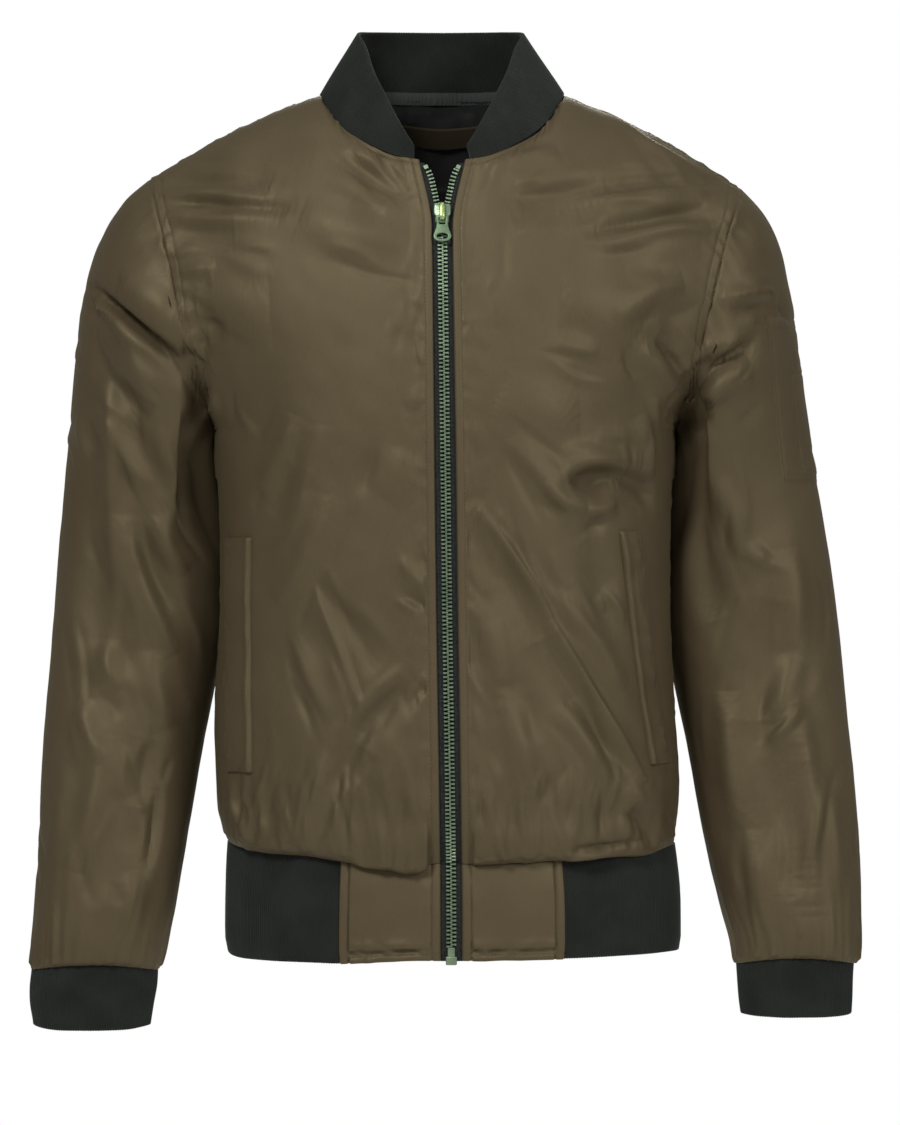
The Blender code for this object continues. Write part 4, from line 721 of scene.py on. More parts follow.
def creased(points, n, lines):
    """How far each fold together push these points out along their normals n."""
    shape = points.shape[:-1]
    points, n = points.reshape(-1, 3), n.reshape(-1, 3)
    push = np.zeros(len(points))
    for fold, line, line_n in lines:
        width = fold.width * FOLD_BREADTH
        reach = width * 4 + 3
        low, high = line.min(0) - reach, line.max(0) + reach
        near = np.flatnonzero(((points > low) & (points < high)).all(1))
        if not len(near):
            continue
        p, pn = points[near], n[near]
        offsets = p[:, None, :] - line[None, :, :]
        step = (offsets**2).sum(-1).argmin(1)
        along = unit(np.gradient(line, axis=0))
        along, across = along[step], np.cross(along, line_n)[step]
        offset = offsets[np.arange(len(p)), step]
        length = (offset * along).sum(-1)
        sideways = (offset * across).sum(-1)
        past = length * np.isin(step, (0, FOLD_STEPS - 1))
        q = sideways / (width * (1 + fold.lopsided * np.tanh(sideways / 1.5)))
        edge = ease((4.0 - np.abs(sideways) / width) / 1.5)
        share = (1 - fold.sharp) * bell(q) + fold.sharp * np.exp(-1.7 * (np.sqrt(q * q + 0.03) - 0.17))
        t = step / (FOLD_STEPS - 1)
        taper = np.sin(math.pi * (0.03 + 0.94 * t)) ** 0.8
        agree = ease(((pn * line_n[step]).sum(-1) - 0.15) / 0.45)
        push[near] += FOLD_STRENGTH * fold.height * share * edge * taper * bell(past / width) * agree
    return push.reshape(shape)


def puckered(distance, place, pucker, seed, start=0.0):
    """Small uneven ridges that run off a seam, by the distance from it and the place along it."""
    rng = np.random.default_rng(seed)
    low, high = place.min(), place.max()
    centres = np.arange(low, high + pucker.pitch, pucker.pitch)
    centres = centres + rng.uniform(-0.35, 0.35, len(centres)) * pucker.pitch
    total = np.zeros_like(distance)
    for centre in centres:
        width = pucker.pitch * rng.uniform(0.22, 0.42)
        reach = pucker.reach * rng.uniform(0.4, 1.5)
        slant = rng.uniform(-0.35, 0.35)
        height = pucker.height * rng.uniform(-0.7, 1.3)
        q = (place - centre - slant * (distance - start)) / (width * (1 + distance / pucker.reach * 0.7))
        total += height * bell(q) * np.exp(-np.maximum(distance - start, 0) / reach)
    return total * ease((distance - start + 1.0) / 3.0)


def unevenness(points, seed, height=1.0, wave=90.0, count=14, stretch=(1.0, 1.0, 0.55)):
    """Soft swells all over the cloth, longer up and down than across."""
    rng = np.random.default_rng(seed)
    total = np.zeros(points.shape[:-1])
    for _ in range(count):
        direction = rng.normal(size=3) * stretch
        direction /= np.linalg.norm(direction)
        length = wave * rng.uniform(0.45, 1.5)
        phase = rng.uniform(0, 2 * math.pi)
        total += np.sin(points @ direction * 2 * math.pi / length + phase) * rng.uniform(0.4, 1.0)
    return total * height / math.sqrt(count)


def groove(distance, at, width=0.9):
    return bell((distance - at) / width)


# ---------------------------------------------------------------- meshes


def linked(name, data):
    obj = bpy.data.objects.new(name, data)
    bpy.context.scene.collection.objects.link(obj)
    return obj


def turned_out(mesh, merged=False):
    """Turns all the faces outward, after joining points that lie together."""
    bm = bmesh.new()
    bm.from_mesh(mesh)
    if merged:
        bmesh.ops.remove_doubles(bm, verts=bm.verts, dist=1e-6)
    bmesh.ops.recalc_face_normals(bm, faces=bm.faces)
    bm.to_mesh(mesh)
    bm.free()


def smoothed(name, mesh, sharp_from):
    """An object of this mesh, shaded smooth, with edges sharp from this angle in degrees."""
    mesh.shade_smooth()
    mesh.set_sharp_from_angle(angle=math.radians(sharp_from))
    return linked(name, mesh)


def made_mesh(name, points, faces, materials, second_from=None, uv=None):
    """An object from points in millimetres. Faces from number second_from on have the second material."""
    mesh = bpy.data.meshes.new(name)
    mesh.from_pydata((np.asarray(points) * MM).tolist(), [], faces)
    for made_of in materials:
        mesh.materials.append(made_of)
    if second_from is not None:
        index = np.zeros(len(mesh.polygons), np.int32)
        index[second_from:] = 1
        mesh.polygons.foreach_set("material_index", index)
    if uv is not None:
        corners = np.zeros(len(mesh.loops), np.int32)
        mesh.loops.foreach_get("vertex_index", corners)
        layer = mesh.uv_layers.new(name="Cut")
        layer.uv.foreach_set("vector", (np.asarray(uv) * MM)[corners].astype(np.float32).ravel())
    bm = bmesh.new()
    bm.from_mesh(mesh)
    if bm.calc_volume(signed=True) < 0:
        bmesh.ops.reverse_faces(bm, faces=bm.faces)
    bm.to_mesh(mesh)
    bm.free()
    return smoothed(name, mesh, 65)


def quads(rows, columns, wrap=False, start=0):
    """Corner numbers of a grid's faces."""
    r, c = np.meshgrid(np.arange(rows - 1), np.arange(columns if wrap else columns - 1), indexing="ij")
    right = (c + 1) % columns
    corners = [r * columns + c, r * columns + right, (r + 1) * columns + right, (r + 1) * columns + c]
    return np.stack(corners, -1).reshape(-1, 4) + start


def lowest_near(grid, n, wrap):
    """How far below each point, against its normal, its lowest neighbour lies."""
    ends = "wrap" if wrap else "edge"
    around = np.pad(np.pad(grid, ((1, 1), (0, 0), (0, 0)), "edge"), ((0, 0), (1, 1), (0, 0)), ends)
    rows, columns = grid.shape[:2]
    lowest = np.zeros((rows, columns))
    for i in range(3):
        for j in range(3):
            off = ((grid - around[i:i + rows, j:j + columns]) * n).sum(-1)
            lowest = np.maximum(lowest, off)
    return np.minimum(lowest, 5.0)


def shell(name, outer, n, thick, materials, wrap=False):
    """A closed wall with a fine outer side and an inner side with every second point.

    The grid has an odd number of rows, and of columns too unless they close into a ring.
    """
    rows, columns = outer.shape[:2]
    inner = (outer - n * (thick + 0.7 * lowest_near(outer, n, wrap))[..., None])[::2, ::2]
    inner_rows, inner_columns = inner.shape[:2]
    count = rows * columns
    faces = quads(rows, columns, wrap).tolist()
    faces += quads(inner_rows, inner_columns, wrap, count)[:, ::-1].tolist()

    def fine(row, column):
        return row * columns + column % columns

    def coarse(row, column):
        return count + (row // 2) * inner_columns + (column // 2) % inner_columns

    def rim(places):
        a, b, c = places
        return [fine(*c), fine(*b), fine(*a), coarse(*a), coarse(*c)]

    last_row = rows - 1
    for c in range(0, columns if wrap else columns - 1, 2):
        faces.append(rim([(0, c), (0, c + 1), (0, c + 2)]))
        faces.append(rim([(last_row, c + 2), (last_row, c + 1), (last_row, c)]))
    if not wrap:
        last = columns - 1
        for r in range(0, rows - 1, 2):
            faces.append(rim([(r + 2, 0), (r + 1, 0), (r, 0)]))
            faces.append(rim([(r, last), (r + 1, last), (r + 2, last)]))
    points = np.concatenate([outer.reshape(-1, 3), inner.reshape(-1, 3)])
    cut = np.stack([run_along(outer, 1), run_along(outer, 0)], -1)
    cut = np.concatenate([cut.reshape(-1, 2), cut[::2, ::2].reshape(-1, 2)])
    second = (rows - 1) * (columns if wrap else columns - 1) if len(materials) > 1 else None
    return made_mesh(name, points, faces, materials, second, cut)


def folded_band(name, middle, n, thick, edge, relief, materials, wrap=False):
    """A doubled band of knit: its rows run from the seam to the free edge, where it is folded round.

    middle is its middle surface, edge the direction past the free edge, and relief the ribs' height.
    """
    half = thick / 2 + relief
    turn = np.linspace(0, math.pi, 7)[1:-1]
    outer = middle + n * half[..., None]
    inner = middle - n * half[..., None]
    last, last_n, last_half = middle[-1], n[-1], half[-1][:, None]
    round_it = [last + (last_n * math.cos(a) + edge * math.sin(a)) * last_half for a in turn]
    loop = np.concatenate([outer, np.array(round_it), inner[::-1]])
    rows, columns = loop.shape[:2]
    faces = quads(rows, columns, wrap).tolist()
    last_row = (rows - 1) * columns
    for c in range(columns if wrap else columns - 1):
        after = (c + 1) % columns
        faces.append([last_row + c, last_row + after, after, c])
    if not wrap:
        for k in range(rows // 2):
            a, b, c, d = (i * columns for i in (k, k + 1, rows - 2 - k, rows - 1 - k))
            if b == c:
                continue
            faces.append([a, b, c, d])
            faces.append([i + columns - 1 for i in (d, c, b, a)])
    cut = np.stack([run_along(loop, 1), run_along(loop, 0)], -1).reshape(-1, 2)
    return made_mesh(name, loop.reshape(-1, 3), faces, materials, None, cut)


def thread(name, lines, made_of, pitch=3.0, length=2.2, radius=0.24, lift=0.05):
    """Stitches along lines of points with normals: short threads, slightly sunk at both ends."""
    points, faces = [], []
    for line, n in lines:
        run = line_run(line)
        if run[-1] < pitch:
            continue
        starts = np.arange(0.5, run[-1] - length, pitch)
        at = starts[:, None] + np.array([0.0, 0.25, 0.75, 1.0]) * length
        middle = line_at(line, run, at)
        out = unit(line_at(n, run, at))
        side = np.cross(unit(np.gradient(middle, axis=1)), out)
        rise = np.array([-0.9, 0.2, 0.2, -0.9]) * radius + lift
        middle = middle + out * rise[:, None]
        ring = [
            middle + (side * math.cos(a) * 1.25 + out * math.sin(a)) * radius
            for a in (math.pi * k / 2 + math.pi / 4 for k in range(4))
        ]
        ring = np.stack(ring, 2)
        for stitch in ring:
            start = len(points)
            points.extend(stitch.reshape(-1, 3))
            for k in range(3):
                for j in range(4):
                    a, b = start + 4 * k + j, start + 4 * k + (j + 1) % 4
                    faces.append([a, b, b + 4, a + 4])
            faces.append([start + 3, start + 2, start + 1, start])
            faces.append([start + 12, start + 13, start + 14, start + 15])
    return made_mesh(name, np.array(points), faces, [made_of])


# ---------------------------------------------------------------- materials


def new_material(name):
    """A new material with its node tree and its Principled shader."""
    made = bpy.data.materials.new(name)
    made.use_nodes = True
    return made, made.node_tree, made.node_tree.nodes["Principled BSDF"]


def set_inputs(node, values):
    for name, value in values.items():
        node.inputs[name].default_value = value


def texture(tree, kind, place, stretch, values):
    """A texture node's factor, read at this place with its coordinates stretched."""
    mapping = tree.nodes.new("ShaderNodeMapping")
    set_inputs(mapping, {"Scale": stretch})
    tree.links.new(place, mapping.inputs["Vector"])
    made = tree.nodes.new(kind)
    set_inputs(made, values)
    tree.links.new(mapping.outputs["Vector"], made.inputs["Vector"])
    return made.outputs["Fac"]


def noise(tree, place, scale, detail, roughness=0.5, stretch=(1, 1, 1)):
    values = {"Scale": scale, "Detail": detail, "Roughness": roughness}
    return texture(tree, "ShaderNodeTexNoise", place, stretch, values)


def wave(tree, place, scale, distortion, stretch=(1, 1, 1)):
    return texture(tree, "ShaderNodeTexWave", place, stretch, {"Scale": scale, "Distortion": distortion})


def grey(level):
    return (level, level, level)


def place_of(tree):
    return tree.nodes.new("ShaderNodeTexCoord").outputs["Object"]


def cut_place(tree):
    """Metres along the cloth, from its UV map."""
    made = tree.nodes.new("ShaderNodeUVMap")
    made.uv_map = "Cut"
    return made.outputs["UV"]


def ramped(tree, factor, low, high, start=0.35, end=0.65):
    """The factor's range from start to end as the range from low to high, of numbers or of colours."""
    if isinstance(low, tuple):
        made = tree.nodes.new("ShaderNodeValToRGB")
        made.color_ramp.elements[0].position = start
        made.color_ramp.elements[1].position = end
        made.color_ramp.elements[0].color = (*low, 1)
        made.color_ramp.elements[1].color = (*high, 1)
        tree.links.new(factor, made.inputs["Fac"])
        return made.outputs["Color"]
    made = tree.nodes.new("ShaderNodeMapRange")
    set_inputs(made, {"From Min": start, "From Max": end, "To Min": low, "To Max": high})
    tree.links.new(factor, made.inputs["Value"])
    return made.outputs["Result"]


def multiplied(tree, first, second):
    made = tree.nodes.new("ShaderNodeMixRGB")
    made.blend_type = "MULTIPLY"
    set_inputs(made, {"Fac": 1.0})
    tree.links.new(first, made.inputs["Color1"])
    tree.links.new(second, made.inputs["Color2"])
    return made.outputs["Color"]


def bumped(tree, shader, heights):
    """Bumps one after the other: each a height output, its strength and its depth in millimetres."""
    normal = None
    for height, strength, depth in heights:
        made = tree.nodes.new("ShaderNodeBump")
        set_inputs(made, {"Strength": strength, "Distance": depth * MM})
        tree.links.new(height, made.inputs["Height"])
        if normal is not None:
            tree.links.new(normal, made.inputs["Normal"])
        normal = made.outputs["Normal"]
    tree.links.new(normal, shader.inputs["Normal"])


def satin(name, dark, light, roughness, sheen=0.0, tint=(1, 1, 1), metallic=0.0, specular=0.5):
    """Woven satin: mottled colour, fine upright streaks in the colour that are partly yarn slub and partly
    painted sheen, a fine twill and slightly uneven gloss.
    """
    made, tree, shader = new_material(name)
    place, cut = place_of(tree), cut_place(tree)
    broad = noise(tree, place, 14.0, 4.0, 0.6)
    fine = noise(tree, place, 520.0, 3.0, 0.7)
    twill = wave(tree, cut, 420.0, 0.0, (1.0, 0.62, 1.0))
    slub_and_sheen_streaks = noise(tree, cut, 900.0, 2.0, stretch=(1.0, 0.12, 1.0))
    colour = ramped(tree, broad, dark, light, 0.3, 0.7)
    grain = ramped(tree, fine, grey(0.94), grey(1.05), 0.3, 0.7)
    # Painted sheen: fine upright lighter and darker streaks in the base colour, partly yarn slub and partly
    # standing in for the satin's sheen streaks
    slub_and_sheen_tone = ramped(tree, slub_and_sheen_streaks, grey(0.96), grey(1.03), 0.3, 0.7)
    colour = multiplied(tree, multiplied(tree, colour, grain), slub_and_sheen_tone)
    tree.links.new(colour, shader.inputs["Base Color"])
    tree.links.new(ramped(tree, fine, roughness - 0.05, roughness + 0.06), shader.inputs["Roughness"])
    set_inputs(shader, {"Sheen Weight": sheen, "Sheen Roughness": 0.4, "Sheen Tint": (*tint, 1)})
    set_inputs(shader, {"Metallic": metallic, "Specular IOR Level": specular, "Specular Tint": (*tint, 1)})
    bumped(tree, shader, [(fine, 0.2, 0.08), (slub_and_sheen_streaks, 0.3, 0.05), (twill, 0.3, 0.05)])
    return made


def knit(name, dark, light):
    """Fuzzy rib knit. The ribs themselves are in the mesh."""
    made, tree, shader = new_material(name)
    place, cut = place_of(tree), cut_place(tree)
    broad = noise(tree, place, 30.0, 3.0)
    fuzz = noise(tree, place, 1100.0, 3.0, 0.7)
    rows = wave(tree, cut, 240.0, 2.0, (0.25, 1.0, 1.0))
    colour = ramped(tree, broad, dark, light)
    lint = ramped(tree, fuzz, grey(0.7), grey(1.35), 0.3, 0.75)
    tree.links.new(multiplied(tree, colour, lint), shader.inputs["Base Color"])
    set_inputs(shader, {"Roughness": 0.95, "Specular IOR Level": 0.2})
    set_inputs(shader, {"Sheen Weight": 0.12, "Sheen Roughness": 0.5, "Sheen Tint": (0.75, 0.82, 0.78, 1)})
    bumped(tree, shader, [(fuzz, 0.5, 0.12), (rows, 0.4, 0.15)])
    return made


def woven_tape(name, dark, light):
    made, tree, shader = new_material(name)
    cut = cut_place(tree)
    weave = wave(tree, cut, 330.0, 1.0, (0.4, 1.0, 1.0))
    across = wave(tree, cut, 260.0, 0.5)
    grain = noise(tree, place_of(tree), 700.0, 2.0)
    tree.links.new(ramped(tree, grain, dark, light), shader.inputs["Base Color"])
    set_inputs(shader, {"Roughness": 0.9, "Specular IOR Level": 0.12})
    bumped(tree, shader, [(weave, 0.5, 0.1), (across, 0.4, 0.08)])
    return made


def cast_metal(name, dark, light, roughness):
    made, tree, shader = new_material(name)
    place = place_of(tree)
    broad = noise(tree, place, 120.0, 4.0)
    grain = noise(tree, place, 1500.0, 2.0)
    tree.links.new(ramped(tree, broad, dark, light, 0.3, 0.7), shader.inputs["Base Color"])
    tree.links.new(ramped(tree, grain, roughness - 0.08, roughness + 0.1), shader.inputs["Roughness"])
    set_inputs(shader, {"Metallic": 0.75})
    bumped(tree, shader, [(broad, 0.2, 0.1), (grain, 0.15, 0.03)])
    return made


def floor_material():
    made, tree, shader = new_material("floor")
    grain = noise(tree, place_of(tree), 3.0, 5.0)
    tree.links.new(ramped(tree, grain, (0.78, 0.78, 0.77), (0.82, 0.82, 0.81)), shader.inputs["Base Color"])
    set_inputs(shader, {"Roughness": 0.9})
    return made


OLIVE_TINT = (0.92, 1.0, 0.60)
OLIVE_DARK, OLIVE_LIGHT = (0.076, 0.055, 0.031), (0.087, 0.064, 0.037)
SHELL = satin("olive_satin", OLIVE_DARK, OLIVE_LIGHT, 0.53, 0.02, OLIVE_TINT, 0.2, 0.25)
RIB = knit("black_rib", (0.0080, 0.0092, 0.0076), (0.0130, 0.0148, 0.0124))
LINING = satin("black_satin", (0.012, 0.013, 0.012), (0.024, 0.026, 0.024), 0.42, 0.1, specular=0.3)
NECK_TAPE = satin("neck_tape", (0.018, 0.020, 0.018), (0.034, 0.037, 0.034), 0.7, 0.05, specular=0.2)
FACING = satin("brown_facing", (0.023, 0.0175, 0.010), (0.032, 0.024, 0.014), 0.65, specular=0.1)
THREAD = satin("olive_thread", (0.034, 0.025, 0.015), (0.050, 0.038, 0.022), 0.6, 0.2, OLIVE_TINT)
TAPE = woven_tape("zip_tape", (0.012, 0.014, 0.013), (0.026, 0.029, 0.027))
TEETH = cast_metal("zip_metal", (0.13, 0.18, 0.12), (0.22, 0.29, 0.19), 0.42)
PULL = cast_metal("zip_pull_metal", (0.085, 0.135, 0.075), (0.14, 0.205, 0.12), 0.5)
BRASS = cast_metal("zip_bridge_metal", (0.26, 0.38, 0.12), (0.38, 0.52, 0.20), 0.32)
LINED = [SHELL, LINING]  # the outer side's material and the inner side's


# ---------------------------------------------------------------- what each piece is to the jacket


def kept(obj, nodes=(), body="jacket"):
    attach(obj, body)
    if nodes:
        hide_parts(*nodes)
    return obj


def add_cloth(name, outer, n, thick, made_of, threads=(), wrap=False):
    """Adds a wall of cloth and its topstitching."""
    piece = kept(shell(name + "_cloth", outer, n, thick, made_of, wrap), [name])
    sewn = [kept(thread(name + "_stitches", threads, THREAD))] if threads else []


def add_knit(name, grid, n, sunk, thick, edge, relief, wrap=False):
    """Adds a doubled band of rib knit, its middle sunk this far under the grid."""
    piece = folded_band(name + "_knit", grid - n * sunk, n, thick, edge, relief, [RIB], wrap)
    kept(piece, [name])


# ---------------------------------------------------------------- the shell

COLUMNS = graded(118, 18, 10, 0.05, 0.04)
BACK_COLUMNS = np.concatenate([np.linspace(0, 0.97, 92), np.linspace(0.97, 1, 9)[1:]])
LEVELS = graded(236, 18, 12, 0.03, 0.035) * 2
ROUND_SLEEVE = 156
SLEEVE_ROWS = 269
CLEARANCE = 0.9
BODY_REACH_X, BODY_REACH_Z = 215.0, -120.0  # the body touches no sleeve further out or further up


def edge_roll(distance, radius):
    """How far a rounded edge of this radius lies back at this distance from it."""
    return -radius * (1 - np.sqrt(1 - np.clip(1 - distance / radius, 0, 1) ** 2))


def even_rings(side):
    """Ring numbers down the sleeve at even steps along the cloth, with finer ones at both ends."""
    angle = np.linspace(0, 2 * math.pi, 24)[None, :]
    rings = np.linspace(0, LAST_RING, 241)
    run = run_along(sleeve(side, angle, rings[:, None]), 0).mean(axis=1)
    share = graded(SLEEVE_ROWS - 25, 10, 14, 0.018, 0.03)
    return np.interp(share * run[-1], run, rings)


def meet(panels):
    """Gives edge points that lie together at a seam one normal."""
    edges, owners = [], []
    for name, (grid, n) in panels.items():
        for index in (np.s_[0, :], np.s_[-1, :], np.s_[:, 0], np.s_[:, -1]):
            edges.append(np.concatenate([grid[index], n[index]], axis=-1))
            owners.extend([name] * len(grid[index]))
    edges, owners = np.concatenate(edges), np.array(owners)
    for name, (grid, n) in panels.items():
        others = edges[owners != name]
        changed = n.copy()
        for index in (np.s_[0, :], np.s_[-1, :], np.s_[:, 0], np.s_[:, -1]):
            own = grid[index]
            gap = ((own[:, None, :] - others[None, :, :3]) ** 2).sum(-1)
            near = gap.argmin(1)
            other_n = others[near, 3:]
            meets = (gap[np.arange(len(own)), near] < SEAM_GAP**2) & ((n[index] * other_n).sum(-1) > 0.2)
            changed[index] = unit(n[index] + other_n * meets[:, None])
        n[...] = changed


def from_underarm(points):
    return np.minimum(*(
        np.linalg.norm(points - armhole(side, FRONT, math.pi), axis=-1) for side in (RIGHT, LEFT)
    ))


def underarm_hold(points):
    """0 at the underarm, where the four panels meet and nothing moves, and 1 further off."""
    return 1 - np.exp(-((from_underarm(points) / 9.0) ** 2))


def tucked(points):
    """The points near each armhole's lower front drawn back, so that the armpit is a dark crease."""
    turn = np.linspace(TUCK_FROM, 1.0, 20)
    moved = points.copy()
    for side in (RIGHT, LEFT):
        curve = armhole(side, FRONT, turn * math.pi)
        gap = np.linalg.norm(points[..., None, :] - curve, axis=-1)
        share = ease((turn - TUCK_FROM) / 0.2)[gap.argmin(-1)]
        moved[..., 1] += TUCK_DEPTH * share * bell(gap.min(-1) / TUCK_REACH)
    return moved


def below_shoulder(points):
    """How strongly the armhole puckers: hardly on the shoulder, fully from the chest down."""
    return 0.25 + 0.75 * ease((-75.0 - points[..., 2]) / 45.0)


def closed_seam(push, distance, points):
    """The push with no trough close to the armhole's lower part, where it would open the seam."""
    z = points[..., 2]
    lowest = -0.3 * distance - 1.2 * ease((z + 190.0) / 30.0) - 50.0 * (z < -300.0)
    return np.maximum(push, lowest)


def from_zip_edge(points):
    """How far points on the front lie outside the zip's gap."""
    gap = np.abs(points[..., 0] - zip_lean(points[..., 2])) - zip_gap(points[..., 2])
    return np.where(points[..., 1] < 0, gap, 1e3)


def against_each_other(points, n):
    """1 where the sleeve and the body's side face each other closely, 0 elsewhere."""
    low = ease((points[..., 2] + 520.0) / 60.0) * ease((-230.0 - points[..., 2]) / 30.0)
    near = ease((22.0 - np.abs(np.abs(points[..., 0]) - 177.0)) / 10.0)
    return low * near * ease((np.abs(n[..., 0]) - 0.6) / 0.3)


def creased_push(points, n, lines):
    """Folds and swells that the cloth shares wherever pieces of it lie on each other."""
    push = creased(points, n, lines)
    push += unevenness(points, 3, 1.2, 110.0) + unevenness(points, 5, 0.22, 36.0, 18)
    push *= 1 - np.exp(-((from_underarm(points) / 14.0) ** 2))
    push *= 1 - 0.85 * against_each_other(points, n)
    push *= 1 - 0.6 * ease((n[..., 2] - 0.55) / 0.35)
    outer = ease((np.abs(n[..., 0]) - 0.82) / 0.14) * ease((np.abs(points[..., 0]) - 190.0) / 30.0)
    most = MOST_PUSH - (MOST_PUSH - MOST_OUTER_PUSH) * outer
    push = most * np.tanh(push / most)
    return push * ease((from_zip_edge(points) - 5.5) / 5.0)


def hem_at(x, face):
    """How strongly the cloth is gathered at x, and how far it hangs over the waistband."""
    return read(FRONT_HEM if face == FRONT else BACK_HEM, x)


def seam_rise(drop, distance):
    """How far the cloth this far from the waistband's seam is drawn up where the seam lies higher."""
    return np.maximum(-drop, 0) * np.exp(-((distance / 26.0) ** 1.5))


def hung(grid, n, d_hem, face, fade=1.0):
    """The lowest cloth let down over the waistband, or drawn up to where its seam lies higher."""
    _, drop = hem_at(grid[..., 0], face)
    hang = (np.maximum(drop, 0) * 0.9 + 3.2 * ease(drop / 2.0) + 1.5) * fade
    lip = (d_hem / LIP) * np.exp(1 - d_hem / LIP)
    facing = ease((np.abs(n[..., 1]) - 0.25) / 0.5)
    bulge = 3.6 * bell((d_hem - 19.0) / 15.0) + 2.4 * lip
    moved = grid + n * (bulge * fade * facing)[..., None]
    moved[..., 2] += seam_rise(drop, d_hem) - hang * lip
    return moved


def near_seams(u, level):
    """Where a panel's side is the armhole and no side seam, and where its top is the neckline."""
    return ease((level - UNDERARM_LEVEL) / 0.05), 1 - ease((u - NECK_SHARE + 0.04) / 0.08)


def sewn_in(d_side, d_top, by_arm, by_neck):
    """How deep the topstitching and the seams pull the cloth in."""
    depth = (0.5 * groove(d_side, ARMHOLE_STITCH) + 0.2 * groove(d_side, 6.0, 3.0)) * by_arm
    depth += 0.5 * groove(d_top, NECK_STITCH) * by_neck + 0.7 * bell(d_top / 1.4)
    return depth + 0.7 * bell(d_side / 1.4) + 1.6 * bell(d_side / 16.0) * (1 - by_arm)


def gathers(grid, d_hem, place, face, broad, seed):
    """The gathers above the waistband: broad ones with small ones between them."""
    height = puckered(d_hem, place, broad, seed, 7.0) + puckered(d_hem, place, SMALL_GATHERS, seed + 1, 9.0)
    return hem_at(grid[..., 0], face)[0] * height


def side_to_side(push, grid, n, d_side, reach):
    """The push held at the underarm, and swelling where the body's side lies against the sleeve."""
    swell = 2.2 * against_each_other(grid, n) * bell(grid[..., 1] / reach)
    return closed_seam(push * underarm_hold(grid), d_side, grid) + swell


def front_panel(side, grid, n, lines):
    """A front's cloth, and the lines of its topstitching."""
    d_zip, d_side, d_hem, d_top = frame_of(grid)
    off_strip = d_zip - STRIP_WIDTH
    by_arm, by_neck = near_seams(COLUMNS[None, :], LEVELS[:, None])
    seed = 20 + side
    push = creased_push(grid, n, lines)
    push += puckered(d_zip, d_hem, ZIP_PUCKERS, seed + 1, STRIP_WIDTH) * ease(off_strip / 1.5)
    push += puckered(d_side, d_hem, ARMHOLE_PUCKERS, seed + 2, 1.0) * by_arm * below_shoulder(grid)
    push += puckered(d_side, d_hem, SEAM_PUCKERS, seed + 3) * (1 - by_arm)
    push += puckered(d_top, d_zip, NECK_PUCKERS, seed + 4, NECK_STITCH) * by_neck * ease((d_zip - 8) / 6)
    push += puckered(d_top, d_zip, SEAM_PUCKERS, seed + 5) * (1 - by_neck)
    push += gathers(grid, d_hem, d_zip, FRONT, FRONT_GATHERS, seed + 6) * ease(off_strip / 4)
    push += 0.3 * (1 - ease((off_strip + 0.8) / 1.6)) + edge_roll(d_zip, 1.0)
    push -= 0.4 * groove(d_zip, STRIP_STITCH, 0.8) + sewn_in(d_side, d_top, by_arm, by_neck)
    for row in SHOULDER_STITCHES[side]:
        push -= 0.6 * groove(d_top, row, 0.8) * (1 - by_neck)
    push = side_to_side(push, grid, n, d_side, 20.0)
    moved = hung(tucked(grid + n * push[..., None]), n, d_hem, FRONT, ease(off_strip / 5))
    along = turned_normals(moved, n)
    up = LEVELS > UNDERARM_LEVEL + 0.03
    threads = [stitch_line(moved, along, d_zip, STRIP_STITCH)]
    threads += [stitch_line(moved[up], along[up], d_side[up], at) for at in (ARMHOLE_STITCH, SEAM_STITCH)]
    for there, stitches in (
        (COLUMNS < NECK_SHARE - 0.01, (NECK_STITCH,)),
        (COLUMNS > NECK_SHARE + 0.01, SHOULDER_STITCHES[side]),
    ):
        for at in stitches:
            threads.append(stitch_line_up(moved[:, there], along[:, there], d_top[:, there], at))
    return moved, threads


def stitch_line(grid, n, lengths, at):
    """Points and normals at one length along each row."""
    order = slice(None) if lengths[0, -1] > lengths[0, 0] else slice(None, None, -1)
    lengths = lengths[:, order]
    return line_read(grid[:, order], lengths, at), line_read(n[:, order], lengths, at)


def stitch_line_up(grid, n, lengths, at):
    """Points and normals at one length up each column."""
    return stitch_line(grid.transpose(1, 0, 2), n.transpose(1, 0, 2), lengths.T, at)


def back_panel(grid, n, lines):
    """The back's cloth, and the lines of its topstitching."""
    d_first, d_last, d_hem, d_top = frame_of(grid)
    d_side = np.minimum(d_first, d_last)
    u = np.concatenate([BACK_COLUMNS[:0:-1], BACK_COLUMNS])
    by_arm, by_neck = near_seams(u[None, :], LEVELS[:, None])
    push = creased_push(grid, n, lines)
    push += puckered(d_side, d_hem, ARMHOLE_PUCKERS, 41, 1.0) * by_arm * below_shoulder(grid)
    push += puckered(d_side, d_hem, SEAM_PUCKERS, 42) * (1 - by_arm)
    push += puckered(d_top, d_first, NECK_PUCKERS, 43, NECK_STITCH)
    push += gathers(grid, d_hem, d_first, BACK, BACK_GATHERS, 44)
    push -= sewn_in(d_side, d_top, by_arm, by_neck)
    push = side_to_side(push, grid, n, d_side, 14.0)
    moved = hung(tucked(grid + n * push[..., None]), n, d_hem, BACK)
    along = turned_normals(moved, n)
    up = LEVELS > UNDERARM_LEVEL + 0.03
    middle = grid.shape[1] // 2
    threads = [
        stitch_line(moved[up, half], along[up, half], d_side[up, half], at)
        for half in (np.s_[:middle], np.s_[middle:]) for at in (SEAM_STITCH, ARMHOLE_STITCH)
    ]
    there = u < NECK_SHARE - 0.01
    threads.append(stitch_line_up(moved[:, there], along[:, there], d_top[:, there], NECK_STITCH))
    return moved, threads


